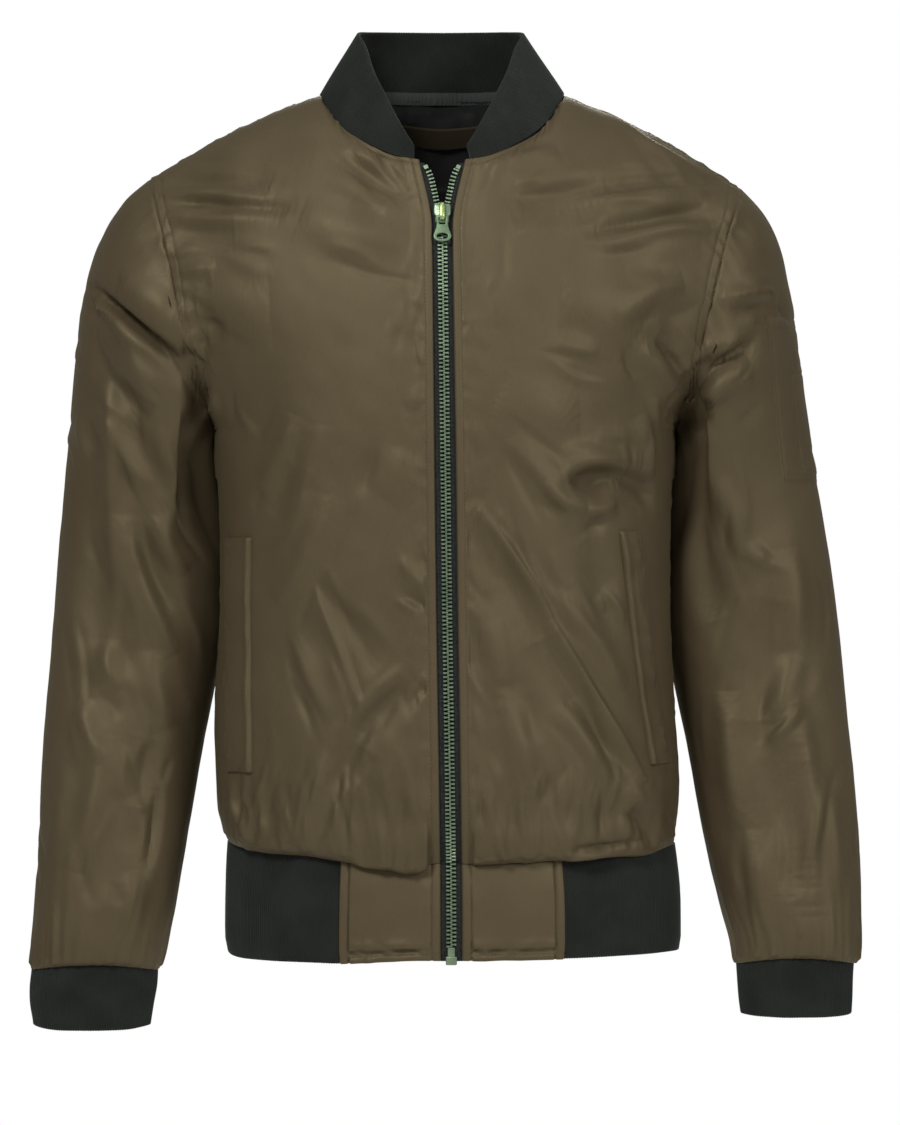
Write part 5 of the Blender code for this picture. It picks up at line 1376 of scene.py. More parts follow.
def sleeve_tube(side, grid, n, lines):
    """A sleeve's cloth, drawn back where it shows beside the body."""
    d_arm = run_along(grid, 0)
    d_cuff = d_arm[-1:] - d_arm
    around = run_along(grid, 1)[60:61]
    push = creased_push(grid, n, lines)
    push += puckered(d_arm, around, ARMHOLE_PUCKERS, 60 + side, 1.0) * below_shoulder(grid)
    push += puckered(d_cuff, around, CUFF_PUCKERS, 63 + side)
    push += puckered(d_cuff, around, Pucker(12.0, 60.0, 1.8), 66 + side, 6.0)
    push -= 0.6 * bell(d_arm / 1.4)
    push = closed_seam(push * underarm_hold(grid), d_arm, grid)
    depth = GAP_DEPTH[side] * ease((grid[..., 2] + 380.0) / 70.0) * ease((-212.0 - grid[..., 2]) / 50.0)
    depth = depth * ease((-side * n[..., 0] - 0.1) / 0.55) * ease((-0.02 - n[..., 1]) / 0.36)
    depth = depth * ease(d_arm / 40.0)
    lip = (d_cuff / 7.0) * np.exp(1 - d_cuff / 7.0)
    moved = tucked(grid + n * (push * ease((d_cuff + 3.0) / 12.0) + 0.4 * lip)[..., None])
    moved[..., 0] += side * depth
    moved[..., 2] -= 3.5 * lip
    return moved


def kept_clear(grid, d_arm, tree):
    """Moves the sleeve's points off the body where they come nearer than the clearance."""
    flat, room = grid.reshape(-1, 3), np.minimum(CLEARANCE, (d_arm.ravel() - 6.0) * 0.04)
    for i, point in enumerate(flat):
        if abs(point[0]) > BODY_REACH_X or point[2] > BODY_REACH_Z:
            continue
        place, normal, _, _ = tree.find_nearest(Vector(point), 14.0)
        if place is None:
            continue
        off = (Vector(point) - place).dot(normal)
        if off < room[i]:
            flat[i] += np.array(normal) * (room[i] - off)
    return flat.reshape(grid.shape)


def tree_of(grids):
    """A search tree of all these grids' faces, turned as their normals are."""
    points, faces = [], []
    for grid, n in grids:
        rows, columns = grid.shape[:2]
        new = quads(rows, columns)
        if (normals(grid) * n).sum() < 0:
            new = new[:, ::-1]
        faces.extend((new + len(points)).tolist())
        points.extend(grid.reshape(-1, 3).tolist())
    return BVHTree.FromPolygons(points, faces)


def add_shell(lines):
    """The fronts, the back and the sleeves."""
    panels = {}
    for side in (RIGHT, LEFT):
        name = SIDE_NAMES[side]
        grid = torso(side, FRONT, COLUMNS[None, :], LEVELS[:, None])
        panels["front_" + name] = grid, outward(grid)
        angle = math.pi + np.arange(ROUND_SLEEVE) * 2 * math.pi / ROUND_SLEEVE
        grid = sleeve(side, angle[None, :], even_rings(side)[:, None])
        panels["sleeve_" + name] = grid, outward(grid, True)
    grid = whole_back(BACK_COLUMNS, LEVELS[:, None])
    panels["back"] = grid, outward(grid)
    meet(panels)
    body = []
    for name in ("front_right", "front_left", "back"):
        grid, n = panels[name]
        if name == "back":
            moved, threads = back_panel(grid, n, lines)
        else:
            moved, threads = front_panel(RIGHT if name == "front_right" else LEFT, grid, n, lines)
        body.append((moved, n))
        add_cloth(name, moved, n, SHELL_THICK, LINED, threads)
    tree = tree_of(body)
    for side in (RIGHT, LEFT):
        name = "sleeve_" + SIDE_NAMES[side]
        grid, n = panels[name]
        moved = sleeve_tube(side, grid, n, lines)
        moved = kept_clear(moved, run_along(grid, 0), tree)
        add_cloth(name, moved, n, SHELL_THICK, LINED, wrap=True)


# ---------------------------------------------------------------- pockets


def across_at(x, z):
    """A front panel's u at this distance from the middle."""
    half_width = read(TORSO, z)[0]
    gap = zip_gap(z)
    return np.arcsin(((x - gap) / (half_width - gap)) ** (1 / BOXINESS)) / (math.pi / 2)


def frame_of(grid):
    """Distances from the grid's first column, last column, first row and last row."""
    first, low = run_along(grid, 1), run_along(grid, 0)
    return first, first[:, -1:] - first, low, low[-1:] - low


def add_welts(lines):
    t = np.linspace(0, 1, 123)[:, None]
    for welt in WELTS:
        z = welt.bottom_z + (welt.top_z - welt.bottom_z) * t
        x = welt.bottom_x + (welt.top_x - welt.bottom_x) * t
        start, end = across_at(x, z), across_at(x + welt.seen_width, z)
        u = start + (end - start) * np.linspace(0, 1, 25)[None, :]
        grid = torso(welt.side, FRONT, u, (z - SEAM_Z) / (UNDERARM_Z - SEAM_Z))
        n = outward(grid)
        d_open, d_outer, d_low, d_top = frame_of(grid)
        d_ends = np.minimum(d_low, d_top)
        push = creased_push(grid, n, lines) + 2.4 + 1.5 * np.exp(-((d_open - 2.0) / 4.5) ** 2)
        push += unevenness(stacked(0.0, 0.0, grid[..., 2]), 75 + welt.side, 0.7, 50.0, 8)
        push += edge_roll(d_open, 1.9) + edge_roll(d_outer, 1.8) + edge_roll(d_ends, 1.6)
        push -= 0.5 * groove(d_outer, POCKET_STITCH, 0.8) + 0.5 * groove(d_ends, POCKET_STITCH, 0.8)
        push += puckered(d_outer, d_low, WELT_PUCKERS, 71 + welt.side, POCKET_STITCH)
        push += puckered(d_open, d_low, Pucker(22.0, 9.0, 1.3), 73 + welt.side)
        moved = grid + n * push[..., None]
        name = SIDE_NAMES[welt.side]
        threads = [stitch_line(moved, turned_normals(moved, n), d_outer, POCKET_STITCH)]
        add_cloth("pocket_welt_" + name, moved, n, 2.0, [SHELL], threads)


def ring_at(side, angle, z):
    """The sleeve's ring number at this height."""
    rings = np.linspace(0, LAST_RING, 121)
    return np.interp(-z, -sleeve(side, angle, rings)[:, 2], rings)


def add_sleeve_pockets(lines):
    for patch in SLEEVE_POCKETS:
        angles = np.radians(np.linspace(patch.from_deg, patch.to_deg, 61))
        t = np.linspace(0, 1, 71)
        ring = np.stack([
            ring_at(LEFT, angle, patch.bottom_z) * (1 - t) + ring_at(LEFT, angle, patch.top_z) * t
            for angle in angles
        ], axis=1)
        grid = sleeve(LEFT, angles[None, :], ring)
        n = outward(grid, centre=sleeve(LEFT, math.pi, ring))
        d_back, d_front, d_low, d_top = frame_of(grid)
        d_edge = np.minimum(np.minimum(d_back, d_front), d_low)
        lift = 0.6 * patch.lift + 0.3
        push = creased_push(grid, n, lines) + lift
        push -= 0.9 * lift * np.maximum(np.exp(-d_top / 4.0), np.exp(-d_edge / 1.6))
        push -= 0.9 * groove(d_edge, POCKET_STITCH, 1.0) + 0.7 * groove(d_top, POCKET_TOP_STITCH, 1.0)
        push += puckered(d_edge, d_low + d_back, Pucker(9.0, 9.0, 0.35), 81, POCKET_STITCH)
        push += puckered(d_top, d_back, Pucker(8.0, 8.0, 0.5), 82)
        moved = grid + n * push[..., None]
        along = turned_normals(moved, n)
        threads = [stitch_line(moved, along, edge, POCKET_STITCH) for edge in (d_back, d_front)]
        threads += [stitch_line_up(moved, along, d_low, at) for at in (POCKET_STITCH, SECOND_POCKET_STITCH)]
        threads.append(stitch_line_up(moved, along, d_top, POCKET_TOP_STITCH))
        add_cloth(patch.name, moved, n, 1.4, [SHELL], threads)


# ---------------------------------------------------------------- ribs and waistband

RIB_PITCH = 2.1
RIB_POINTS = 4
RIB_RELIEF = 0.24
HEM_TOP_Z = -596.6
HEM_MIDDLE_Z = -635.0
HEM_RIB_LOW_Z = -669.4


def ribs(count):
    """The relief of this many points across the ribs."""
    return RIB_RELIEF * np.cos(np.arange(count) * 2 * math.pi / RIB_POINTS)


def even_steps(line, count):
    """Shares of a line's parameter at even steps along it."""
    run = line_run(line)
    return np.interp(np.linspace(0, run[-1], count), run, np.linspace(0, 1, len(line)))


def length_of(line):
    return np.linalg.norm(np.diff(line, axis=0), axis=1).sum()


def add_collar():
    share = np.linspace(0.02, 1.98, 400)
    foot, top = collar_lines(share)
    length = length_of(foot)
    count = int(length / RIB_PITCH) * RIB_POINTS + 1
    share = 0.02 + 1.96 * even_steps(foot, count)
    foot, top = collar_lines(share)
    t = np.linspace(0.012, 0.97, 11)[:, None, None]
    grid = foot + (top - foot) * t
    grid[..., 0] += body_lean(grid[..., 2])
    n = outward(grid, centre=(0.0, -10.0, 0.0))
    height = np.linalg.norm(top - foot, axis=-1)[None, :, None]
    grid += n * (COLLAR_BOW * height / height.max() * 4 * t * (1 - t) * 0.5)
    grid[..., 0] -= 1.4 * t[..., 0]
    grid += n * (unevenness(grid, 11, 0.5, 60.0) * np.sin(math.pi * t[..., 0] * 0.8))[..., None]
    edge = unit(top - foot)
    relief = np.broadcast_to(ribs(count), grid.shape[:2]) * ease(height[..., 0] / 14.0)
    add_knit("collar", grid, n, RIB_THICK / 2 + 0.1, RIB_THICK - 0.4, edge, relief)


def collar_lines(share):
    """Foot and free edge at shares from 0, the right front end, to 2, the left one."""
    foot, top = neck(1 - np.abs(1 - share))
    side = np.where(share < 1, RIGHT, LEFT)[:, None] * np.array([1, 0, 0]) + np.array([0, 1, 1])
    return foot * side, top * side


def add_cuffs():
    for side in (RIGHT, LEFT):
        row = np.linspace(0, len(CUFFS[side]) - 1, 13)[:, None]
        *ring, lift = read(numbered(CUFFS[side]), row)
        outer_x, inner_x, z, depth, arch = ring
        mid_y = SLEEVES[side][-1].mid_y
        even = np.linspace(0, 2 * math.pi, 721)
        line = ring_points((outer_x[6], z[6], inner_x[6], z[6], mid_y, depth[6], arch[6]), even, side)
        count = int(length_of(line) / RIB_PITCH) * RIB_POINTS
        angle = (2 * math.pi * even_steps(line, count + 1)[:-1])[None, :]
        grid = ring_points((outer_x, z, inner_x, z, mid_y, depth, arch), angle, side)
        grid[..., 2] += lift * np.cos(angle) ** 4 + 1.4 * ease((row - 1.5) / 1.5)
        n = outward(grid, True)
        grid += n * unevenness(grid, 90 + side, 0.5, 40.0)[..., None]
        relief = np.broadcast_to(ribs(count), grid.shape[:2])
        name = SIDE_NAMES[side]
        add_knit("cuff_" + name, grid, n, RIB_THICK / 2, RIB_THICK - 0.6, DOWN, relief, True)


def drawn_up(grid):
    """The waistband's upper part taken up to the shell's seam, and its lower edge a little aslant."""
    moved = grid.copy()
    x, y, z = (grid[..., k] for k in range(3))
    low = ease((-640.0 - z) / 28.0) * ease(-y / 60.0)
    moved[..., 2] += low * (1.2 * ease((x - 50.0) / 90.0) - 3.2 * ease((-20.0 - x) / 70.0))
    for face in (FRONT, BACK):
        rise = seam_rise(hem_at(x, face)[1], np.maximum(WAISTBAND[0].z - z, 0))
        moved[..., 2] += np.where((y < 0) == (face == FRONT), rise, 0)
    return moved


def add_hem_rib():
    edge = turn_at(TAB_HALF_WIDTH - 0.2)
    even = np.linspace(edge, 2 * math.pi - edge, 1500)
    line = waistband(even, np.full(1500, HEM_MIDDLE_Z))
    count = int(length_of(line) / RIB_PITCH) * RIB_POINTS + 1
    turn = edge + (2 * math.pi - 2 * edge) * even_steps(line, count)
    grid = waistband(turn[None, :], np.linspace(HEM_TOP_Z, HEM_RIB_LOW_Z, 9)[:, None])
    n = outward(grid, centre=(0.0, 0.0, HEM_MIDDLE_Z))
    grid += n * unevenness(grid, 12, 0.8, 70.0)[..., None]
    grid = drawn_up(grid)
    relief = np.broadcast_to(ribs(count), grid.shape[:2])
    add_knit("hem_rib", grid, n, RIB_THICK / 2 + 0.1, RIB_THICK - 0.4, DOWN, relief)


def add_hem_tabs():
    for side in (RIGHT, LEFT):
        turn = np.linspace(turn_at(8.2), turn_at(TAB_HALF_WIDTH - 0.6), 81)[None, :]
        grid = waistband(side * turn, np.linspace(WAISTBAND[-1].z, HEM_TOP_Z, 67)[:, None])
        n = outward(grid, centre=(0.0, 0.0, HEM_MIDDLE_Z))
        d_zip, d_far, d_low, _ = frame_of(grid)
        push = unevenness(grid, 13 + side, 0.55, 45.0) * ease(d_zip / 12)
        push += edge_roll(d_zip, 1.3) + edge_roll(d_far, 1.3) + edge_roll(d_low, 1.4)
        push += 0.9 * (1 - ease((d_far - 5.6) / 1.0)) - 0.9 * groove(d_far, 6.9, 0.8)
        push -= 1.1 * groove(d_zip, TAB_ZIP_STITCH, 1.0) + 0.6 * groove(d_low, TAB_LOW_STITCH, 0.9)
        inside = ease((d_far - 7) / 2) * ease((d_zip - 7) / 2)
        drawn_in = np.clip(0.85 + unevenness(grid, 19 + side, 0.55, 17.0), 0.2, 1.3)
        push -= inside * drawn_in * (3.3 * bell((d_low - 7.4) / 2.2) - 1.0 * bell((d_low - 13.0) / 4.0))
        push += inside * puckered(np.abs(d_low - TAB_LOW_STITCH), d_zip, Pucker(11.0, 6.5, 1.6), 15 + side)
        push += inside * puckered(d_zip, d_low, Pucker(9.0, 7.0, 0.5), 17 + side, 7.0)
        push += inside * puckered(d_far, d_low, Pucker(9.0, 8.0, 0.6), 18 + side, 7.0)
        moved = drawn_up(grid + n * push[..., None])
        along = turned_normals(moved, n)
        threads = [
            stitch_line(moved, along, d_zip, TAB_ZIP_STITCH),
            stitch_line(moved, along, d_far, TAB_FAR_STITCH),
            stitch_line_up(moved[:, 8:-8], along[:, 8:-8], d_low[:, 8:-8], TAB_LOW_STITCH),
        ]
        name = "hem_tab_" + SIDE_NAMES[side]
        add_cloth(name, moved, n, SHELL_THICK, [SHELL], threads)


# ---------------------------------------------------------------- inside the neck


LINING_UNDER = SHELL_THICK + 3.1  # how far under the back's face the lining's own face lies
BAND_UNDER = SHELL_THICK + 6.5
NECK_TAPE_REACH = (-7.5, 2.6)  # from the collar's seam, down and up


def add_lining_back(lines):
    half = np.concatenate([np.linspace(0, 0.52, 52), np.linspace(0.52, 0.985, 14)[1:]])
    grid = whole_back(half, np.linspace(1.25, 1.992, 77)[:, None])
    n = outward(grid)
    d_first, _, _, d_top = frame_of(grid)
    push = 1.6 * puckered(d_top, d_first + 0.8 * d_top, Pucker(13.0, 30.0, 1.7), 101)
    push += 0.9 * puckered(d_top, d_first - 0.6 * d_top, Pucker(6.5, 15.0, 1.1), 102)
    push += unevenness(grid, 103, 1.0, 34.0, 12, (1.0, 0.4, 1.0))
    push = (np.clip(push, -1.5, 3.5) - 0.4) * ease((d_top - 6.0) / 8.0) + 0.4
    push -= np.minimum(creased_push(grid, n, lines), 0) * 1.1
    inner = grid - n * (LINING_UNDER + push)[..., None]
    add_cloth("lining_back", inner, -n, 1.2, [LINING])


def add_neck_tape():
    foot, _ = collar_lines(np.linspace(0.53, 1.47, 321))
    foot[:, 0] += body_lean(foot[:, 2])
    out = unit(stacked(foot[:, 0], foot[:, 1] - 5.0, 0.0))
    low, high = NECK_TAPE_REACH
    up = np.linspace(low, high, 13)[:, None]
    bow = 0.5 * np.sin(math.pi * (up - low) / (high - low))
    strip = foot[None] - out[None] * (4.4 + bow)[..., None] + stacked(0.0, 0.0, up)
    wander = 2.6 * unevenness(strip, 104, 1.0, 22.0)
    push = 0.2 * np.sin(run_along(strip, 1) * 2 * math.pi / 3.4 + wander)
    push += unevenness(strip, 106, 0.5, 26.0)
    strip = strip - out[None] * push[..., None]
    cover = np.broadcast_to(-out[None], strip.shape)
    add_cloth("neck_tape", strip, cover, 0.9, [NECK_TAPE])


def add_lining_band():
    grid = whole_back(np.linspace(0, 0.5, 61), np.linspace(1.853, 1.915, 21)[:, None])
    n = outward(grid)
    *_, d_low, d_top = frame_of(grid)
    push = edge_roll(np.minimum(d_low, d_top), 1.0) + unevenness(grid, 105, 0.35, 40.0)
    inner = grid - n * (BAND_UNDER + push)[..., None]
    add_cloth("lining_band", inner, -n, 0.7, [FACING])


# ---------------------------------------------------------------- the zip


def zip_line(z):
    """The zip's middle on the face of the cloth."""
    depth = np.where(z < SEAM_Z, band_at(z)[1], read(TORSO, z)[1])
    return stacked(zip_lean(z), -depth, z)


def add_tapes():
    """The tapes behind the teeth, each with a thin cord along its inner edge."""
    z = np.linspace(*TAPE_Z, 309)
    line = zip_line(z)[:, None, :]
    chain = read(CHAIN, z)[0]
    start = (chain - 1.85 * ease((3.4 - chain) / 1.2))[:, None]
    end = (zip_gap(z) + 5.0)[:, None]
    across = start + (end - start) * np.linspace(0, 1, 13)[None, :]
    for side in (RIGHT, LEFT):
        name = SIDE_NAMES[side]
        grid = line + across[..., None] * side * ACROSS + np.array([0, 3.4, 0])
        grid[..., 1] -= 0.5 * bell((across - start - 3.2) / 0.8)
        piece = shell("zip_tape_" + name + "_cloth", grid, outward(grid), 0.9, [TAPE])
        kept(piece, ["zip_tape_" + name])


TOOTH_PITCH = 3.08
FIRST_TOOTH = 0.9  # from the chain's lower end
TOOTH_SUNK, STOP_SUNK = 0.8, 0.7  # behind the face of the cloth
TOOTH = (  # half a tooth's outline: across from the middle of its chain, and along the zip
    (1.9, 0.0), (1.9, 0.84), (0.3, 0.84), (-0.7, 0.62), (-1.5, 0.62), (-1.9, 0.8), (-2.5, 0.76),
    (-2.8, 0.4), (-2.8, 0.0),
)
TOOTH_LAYERS = ((0.0, 0.24), (0.32, 0.0), (1.9, 0.0), (2.2, 0.2))  # depth behind the face, and inset
STOP = ((1.9, 0.3), (1.9, 3.4), (1.3, 3.9), (-1.3, 3.9), (-1.9, 3.4), (-1.9, 0.3))
STOP_LAYERS = ((-0.1, 0.35), (0.2, 0.08), (0.5, 0.0), (2.0, 0.0), (2.3, 0.25))


def inset_loop(loop, distance):
    """A closed outline moved in by this distance."""
    loop = np.asarray(loop, float)
    before, after = loop - np.roll(loop, 1, 0), np.roll(loop, -1, 0) - loop
    area = (loop[:, 0] * np.roll(loop[:, 1], -1) - loop[:, 1] * np.roll(loop[:, 0], -1)).sum()

    def left(edge):
        return np.stack([-edge[:, 1], edge[:, 0]], -1) / np.linalg.norm(edge, axis=1, keepdims=True)

    inward = left(before) + left(after)
    inward /= np.maximum((inward * left(before)).sum(-1, keepdims=True), 0.4)
    return loop + inward * distance * np.sign(area)


def layered(outline, layers, centre, across, along, out):
    """Points and faces of a solid with this outline at each layer: its depth and its inset."""
    loops = []
    for depth, inset in layers:
        flat = inset_loop(outline, inset)
        loops.append(centre + flat[:, :1] * across + flat[:, 1:] * along - out * depth)
    count = len(outline)
    faces = [list(range(count))]
    for k in range(len(layers) - 1):
        for i in range(count):
            a, b = k * count + i, k * count + (i + 1) % count
            faces.append([a, a + count, b + count, b])
    faces.append([i + (len(layers) - 1) * count for i in range(count)][::-1])
    return np.concatenate(loops), faces


def gathered(name, solids, made_of, sharp_from=35):
    """One object from several closed solids' points and faces, each turned outward."""
    mesh = bpy.data.meshes.new(name)
    points, faces = [], []
    for solid, solid_faces in solids:
        faces += [[i + len(points) for i in face] for face in solid_faces]
        points += (np.asarray(solid) * MM).tolist()
    mesh.from_pydata(points, [], faces)
    mesh.materials.append(made_of)
    turned_out(mesh)
    return smoothed(name, mesh, sharp_from)


def chain_path(side):
    """The middle of one side's teeth on the face of the cloth, and the length along it."""
    z = np.linspace(CHAIN_BOTTOM_Z, CHAIN_TOP_Z, 3000)
    line = zip_line(z) + stacked(side * read(CHAIN, z)[0], 0.0, 0.0)
    return line, line_run(line)


def path_frame(line, run, at, side):
    """Centre, across (away from the middle), along and out at a length along the path."""
    centre = line_at(line, run, at)
    along = unit(line_at(line, run, at + 1.5) - line_at(line, run, at - 1.5))
    out = unit(np.cross(ACROSS, along))
    out *= -np.sign(out[1])
    across = np.cross(along, out)
    across *= np.sign(across[0]) * side
    return centre, across, along, out


def add_teeth():
    outline = list(TOOTH) + [(x, -y) for x, y in reversed(TOOTH[1:-1])]
    for side in (RIGHT, LEFT):
        line, run = chain_path(side)
        start = FIRST_TOOTH if side == RIGHT else FIRST_TOOTH + TOOTH_PITCH / 2
        solids = []
        for at in np.arange(start, run[-1] - 0.6, TOOTH_PITCH):
            centre, across, along, out = path_frame(line, run, at, side)
            solids.append(layered(outline, TOOTH_LAYERS, centre - out * TOOTH_SUNK, across, along, out))
        name = SIDE_NAMES[side]
        kept(gathered("zip_teeth_" + name, solids, TEETH), ["zip_chain_" + name])
        centre, across, along, out = path_frame(line, run, run[-1], side)
        stop = layered(STOP, STOP_LAYERS, centre - out * STOP_SUNK, across, along, out)
        kept(gathered("zip_stop_" + name, [stop], TEETH), ["zip_top_stop_" + name])


def zip_frame(z):
    """Centre, across, along and out of the zip's middle at height z."""
    low, high = zip_line(np.array([z - 8.0, z + 8.0]))
    along = unit(high - low)
    return zip_line(z), ACROSS, along, unit(np.cross(ACROSS, along))


def rounded(width, height, radius, centre=(0, 0), count=4):
    """A rounded rectangle's outline."""
    points = []
    for k, (sx, sy) in enumerate(((1, 1), (-1, 1), (-1, -1), (1, -1))):
        for i in range(count + 1):
            a = math.pi / 2 * (k + i / count)
            points.append((
                centre[0] + sx * (width / 2 - radius) + radius * math.cos(a),
                centre[1] + sy * (height / 2 - radius) + radius * math.sin(a),
            ))
    return points


def both_sides(half):
    return half + [(-x, y) for x, y in reversed(half)]


# Outlines of the slider's body and of the pull tab, across and along the zip, on the wearer's left half
SLIDER_BODY = both_sides([
    (3.6, -8.5), (4.4, -8.1), (4.8, -7.0), (5.0, -3.4), (6.4, -1.2), (6.7, 1.0), (6.7, 5.4), (6.2, 6.9),
    (4.8, 7.5),
])
TAB = both_sides([
    (3.2, -23.8), (5.7, -22.4), (6.9, -19.9), (6.3, -17.2), (5.0, -13.6), (4.4, -9.8), (4.6, -5.0),
    (4.1, -2.4),
])
# The bridge's middle line: along the zip, and out from the slider
BRIDGE = (
    (-6.6, 0.4), (-6.4, 3.2), (-5.4, 4.4), (-3.6, 4.8), (3.6, 4.8), (5.9, 4.5), (7.2, 3.3), (7.4, 0.4),
)
BRIDGE_HALF = (1.95, 0.62)  # across, and out
BRIDGE_STEPS = 41
BRIDGE_SIDES = 12


def add_slider():
    place = zip_frame(SLIDER_Z)
    solids = [
        layered(SLIDER_BODY, ((-1.5, 1.1), (-1.25, 0.5), (-0.8, 0.12), (-0.2, 0.0), (0.5, 0.1)), *place),
        layered(SLIDER_BODY, ((4.8, 0.1), (5.2, 0.0), (6.1, 0.2)), *place),
        layered(rounded(2.2, 1.6, 0.5, (0, 6.4)), ((-0.4, 0), (5.4, 0)), *place),
    ]
    for x in (-4.7, 4.7):
        rail = rounded(0.9, 12.0, 0.4, (x, -1.2))
        solids.append(layered(rail, ((-0.3, 0.0), (2.0, 0.0), (2.3, 0.2)), *place))
    kept(gathered("zip_slider_metal", solids, TEETH), ["zip_slider"])


def add_bridge():
    centre, across, along, out = zip_frame(SLIDER_Z)
    path = np.array([centre + along * y + out * (z + 0.5) for y, z in BRIDGE])
    run = line_run(path)
    path = line_at(path, run, np.linspace(0, run[-1], BRIDGE_STEPS))
    for _ in range(3):
        path[1:-1] = (path[:-2] + 2 * path[1:-1] + path[2:]) / 4
    up = np.cross(across, unit(np.gradient(path, axis=0)))
    turn = np.arange(BRIDGE_SIDES) * 2 * math.pi / BRIDGE_SIDES
    wide = BRIDGE_HALF[0] * (1 - 0.25 * np.abs(np.linspace(-1, 1, BRIDGE_STEPS)) ** 3)
    rings = path[:, None, :] + across * (wide[:, None] * np.cos(turn))[..., None]
    rings = rings + up[:, None, :] * (BRIDGE_HALF[1] * np.sin(turn))[None, :, None]
    first = list(range(BRIDGE_SIDES))
    last = [(BRIDGE_STEPS - 1) * BRIDGE_SIDES + i for i in reversed(first)]
    faces = quads(BRIDGE_STEPS, BRIDGE_SIDES, True).tolist() + [first, last]
    piece = gathered("zip_bridge", [(rings.reshape(-1, 3), faces)], BRASS, 60)
    kept(piece, ["zip_slider"])


def plate(name, loops, low, high, bevel, place, made_of):
    """A flat plate with rounded edges, from its outline and its holes."""
    curve = bpy.data.curves.new(name, "CURVE")
    curve.dimensions = "2D"
    curve.fill_mode = "BOTH"
    curve.bevel_depth = bevel * MM
    curve.bevel_resolution = 2
    curve.offset = -bevel * MM
    curve.extrude = ((high - low) / 2 - bevel) * MM
    for loop in loops:
        spline = curve.splines.new("POLY")
        spline.points.add(len(loop) - 1)
        for point, (x, y) in zip(spline.points, loop):
            point.co = (x * MM, y * MM, 0, 1)
        spline.use_cyclic_u = True
    drawn = linked(name, curve)
    mesh = bpy.data.meshes.new_from_object(drawn.evaluated_get(bpy.context.evaluated_depsgraph_get()))
    bpy.data.objects.remove(drawn, do_unlink=True)
    centre, across, along, out = place
    flat = np.zeros(len(mesh.vertices) * 3)
    mesh.vertices.foreach_get("co", flat)
    flat = flat.reshape(-1, 3)
    height = flat[:, 2] + (low + high) / 2 * MM
    points = centre * MM + flat[:, :1] * across + flat[:, 1:2] * along + height[:, None] * out
    mesh.vertices.foreach_set("co", points.ravel())
    turned_out(mesh, True)
    mesh.materials.clear()
    mesh.materials.append(made_of)
    return smoothed(name, mesh, 50)


def eased_outline(points, steps=6):
    """A closed outline with its corners rounded along a smooth curve."""
    points = np.array(points, float)
    before, after, beyond = np.roll(points, 1, 0), np.roll(points, -1, 0), np.roll(points, -2, 0)
    t = np.linspace(0, 1, steps, endpoint=False)[None, :, None]
    a, b, c, d = (p[:, None, :] for p in (before, points, after, beyond))
    curve = b + (c - a) / 2 * t + (a - 2.5 * b + 2 * c - d / 2) * t**2
    curve += (1.5 * (b - c) + (d - a) / 2) * t**3
    return [tuple(p) for p in curve.reshape(-1, 2)]


def add_pull():
    slot = rounded(4.9, 5.8, 1.0, (0, -7.15))
    turns = [2 * math.pi * i / 28 for i in range(28)]
    hole = [(4.3 * math.cos(a), -19.7 + 2.5 * math.sin(a)) for a in turns]
    loops = [eased_outline(TAB), slot, hole]
    piece = plate("zip_pull_tab", loops, 1.45, 2.75, 0.35, zip_frame(SLIDER_Z), PULL)
    kept(piece, ["zip_pull"], body="pull_tab")


def add_zip_box():
    solids = []
    for outline, layers in (
        (rounded(8.6, 6.6, 1.0, (0, -3.4)), ((-0.2, 0.5), (0.1, 0.12), (0.5, 0.0), (3.4, 0.0), (3.9, 0.3))),
        (rounded(5.6, 7.2, 0.8, (0, 3.2)), ((0.5, 0.3), (0.8, 0.0), (3.2, 0.0), (3.4, 0.2))),
    ):
        solids.append(layered(outline, layers, *zip_frame(ZIP_BOX_Z)))
    kept(gathered("zip_box_metal", solids, TEETH), ["zip_box"])


# ---------------------------------------------------------------- the stage


JACKET_MIDDLE = (0, 0, -0.33)
FLOOR_Z = -1.45
WORLD_LIGHT = 0.22

# Places and sizes are in metres, and powers in watts
Light = namedtuple("Light", "name place size power glossy")
LIGHTS = rows_of(Light, (
    ("key", (-1.15, -2.65, 1.7), (0.8, 0.8), 80, True),
    ("fill", (2.0, -2.4, 0.8), (1.0, 1.0), 43, True),
    ("top", (0.0, -0.6, 2.4), (1.8, 1.2), 13, True),
    ("back", (0.15, 2.9, 1.0), (0.9, 0.9), 36, True),
    ("back_left", (1.5, 2.6, 1.2), (1.4, 1.4), 34, False),
    ("back_right", (-1.3, 2.8, 0.4), (1.4, 1.4), 18, False),
))


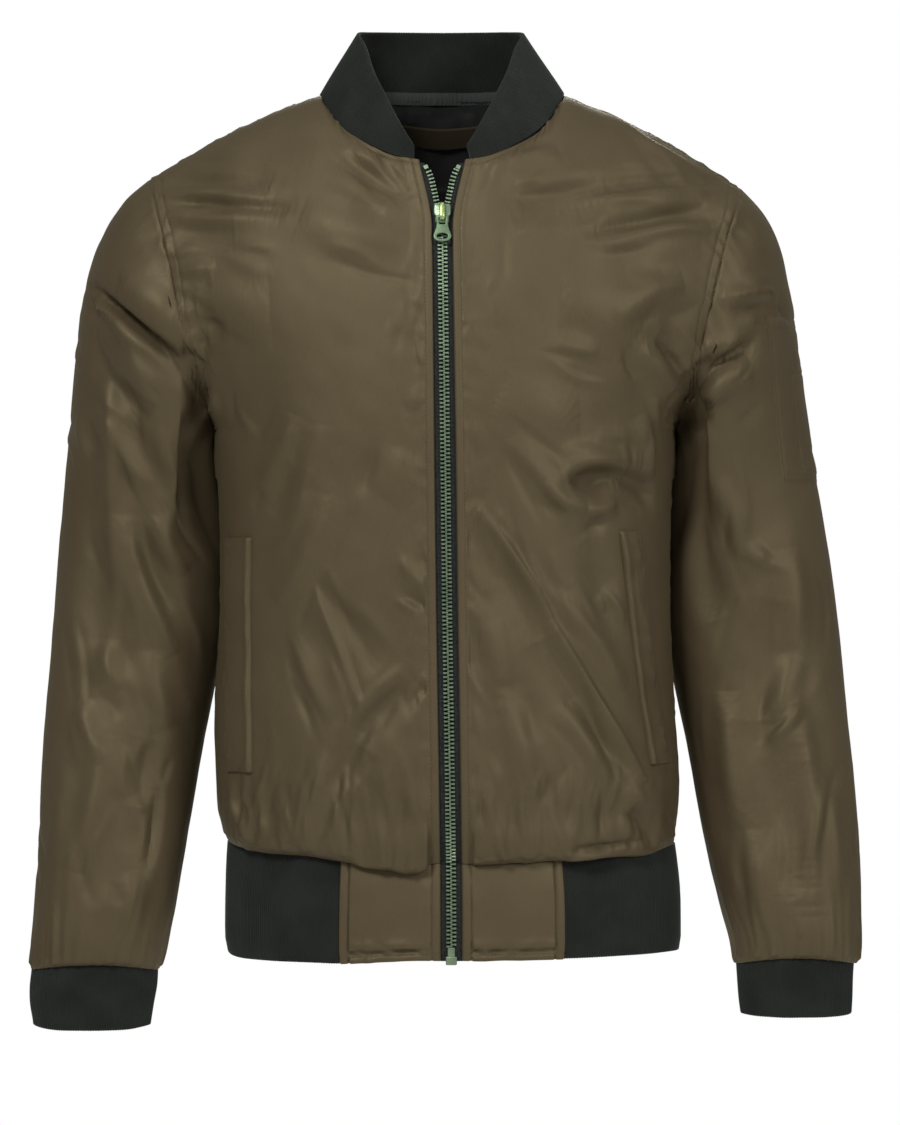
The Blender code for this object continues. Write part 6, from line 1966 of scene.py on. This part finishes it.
def area_light(name, place, size, power, glossy):
    light = bpy.data.lights.new(name, "AREA")
    light.shape = "RECTANGLE"
    light.size, light.size_y = size
    light.energy = power
    obj = linked(name, light)
    obj.location = place
    obj.rotation_euler = (Vector(JACKET_MIDDLE) - Vector(place)).to_track_quat("-Z", "Y").to_euler()
    obj.visible_glossy = glossy


def add_world():
    world = bpy.data.worlds.new("pale")
    bpy.context.scene.world = world
    world.use_nodes = True
    tree = world.node_tree
    tree.nodes.clear()
    out = tree.nodes.new("ShaderNodeOutputWorld")
    rays = tree.nodes.new("ShaderNodeLightPath")
    choice = tree.nodes.new("ShaderNodeMixShader")
    tree.links.new(rays.outputs["Is Camera Ray"], choice.inputs["Fac"])
    for place, strength in ((1, WORLD_LIGHT), (2, 1.0)):  # for the jacket, and for the camera
        sky = tree.nodes.new("ShaderNodeBackground")
        set_inputs(sky, {"Color": (1, 1, 1, 1), "Strength": strength})
        tree.links.new(sky.outputs["Background"], choice.inputs[place])
    tree.links.new(choice.outputs["Shader"], out.inputs["Surface"])


def add_stage():
    camera = linked("camera", bpy.data.cameras.new("camera"))
    camera.data.lens = CAMERA_LENS
    camera.data.clip_end = 100
    camera.location = np.array(CAMERA_AT) * MM
    camera.rotation_euler = (math.pi / 2, 0, 0)
    bpy.context.scene.camera = camera
    bpy.context.scene.view_settings.view_transform = "Standard"
    bm = bmesh.new()
    bmesh.ops.create_grid(bm, x_segments=8, y_segments=8, size=4.0)
    mesh = bpy.data.meshes.new("floor")
    bm.to_mesh(mesh)
    bm.free()
    mesh.materials.append(floor_material())
    floor = linked("floor", mesh)
    floor.location = (0, 0, FLOOR_Z)
    for light in LIGHTS:
        area_light(*light)
    add_world()


def main():
    lines = crease_lines()
    add_shell(lines)
    add_welts(lines)
    add_sleeve_pockets(lines)
    add_collar()
    add_cuffs()
    add_hem_rib()
    add_hem_tabs()
    add_lining_back(lines)
    add_neck_tape()
    add_lining_band()
    add_tapes()
    add_teeth()
    add_slider()
    add_bridge()
    add_pull()
    add_zip_box()
    add_stage()


main()
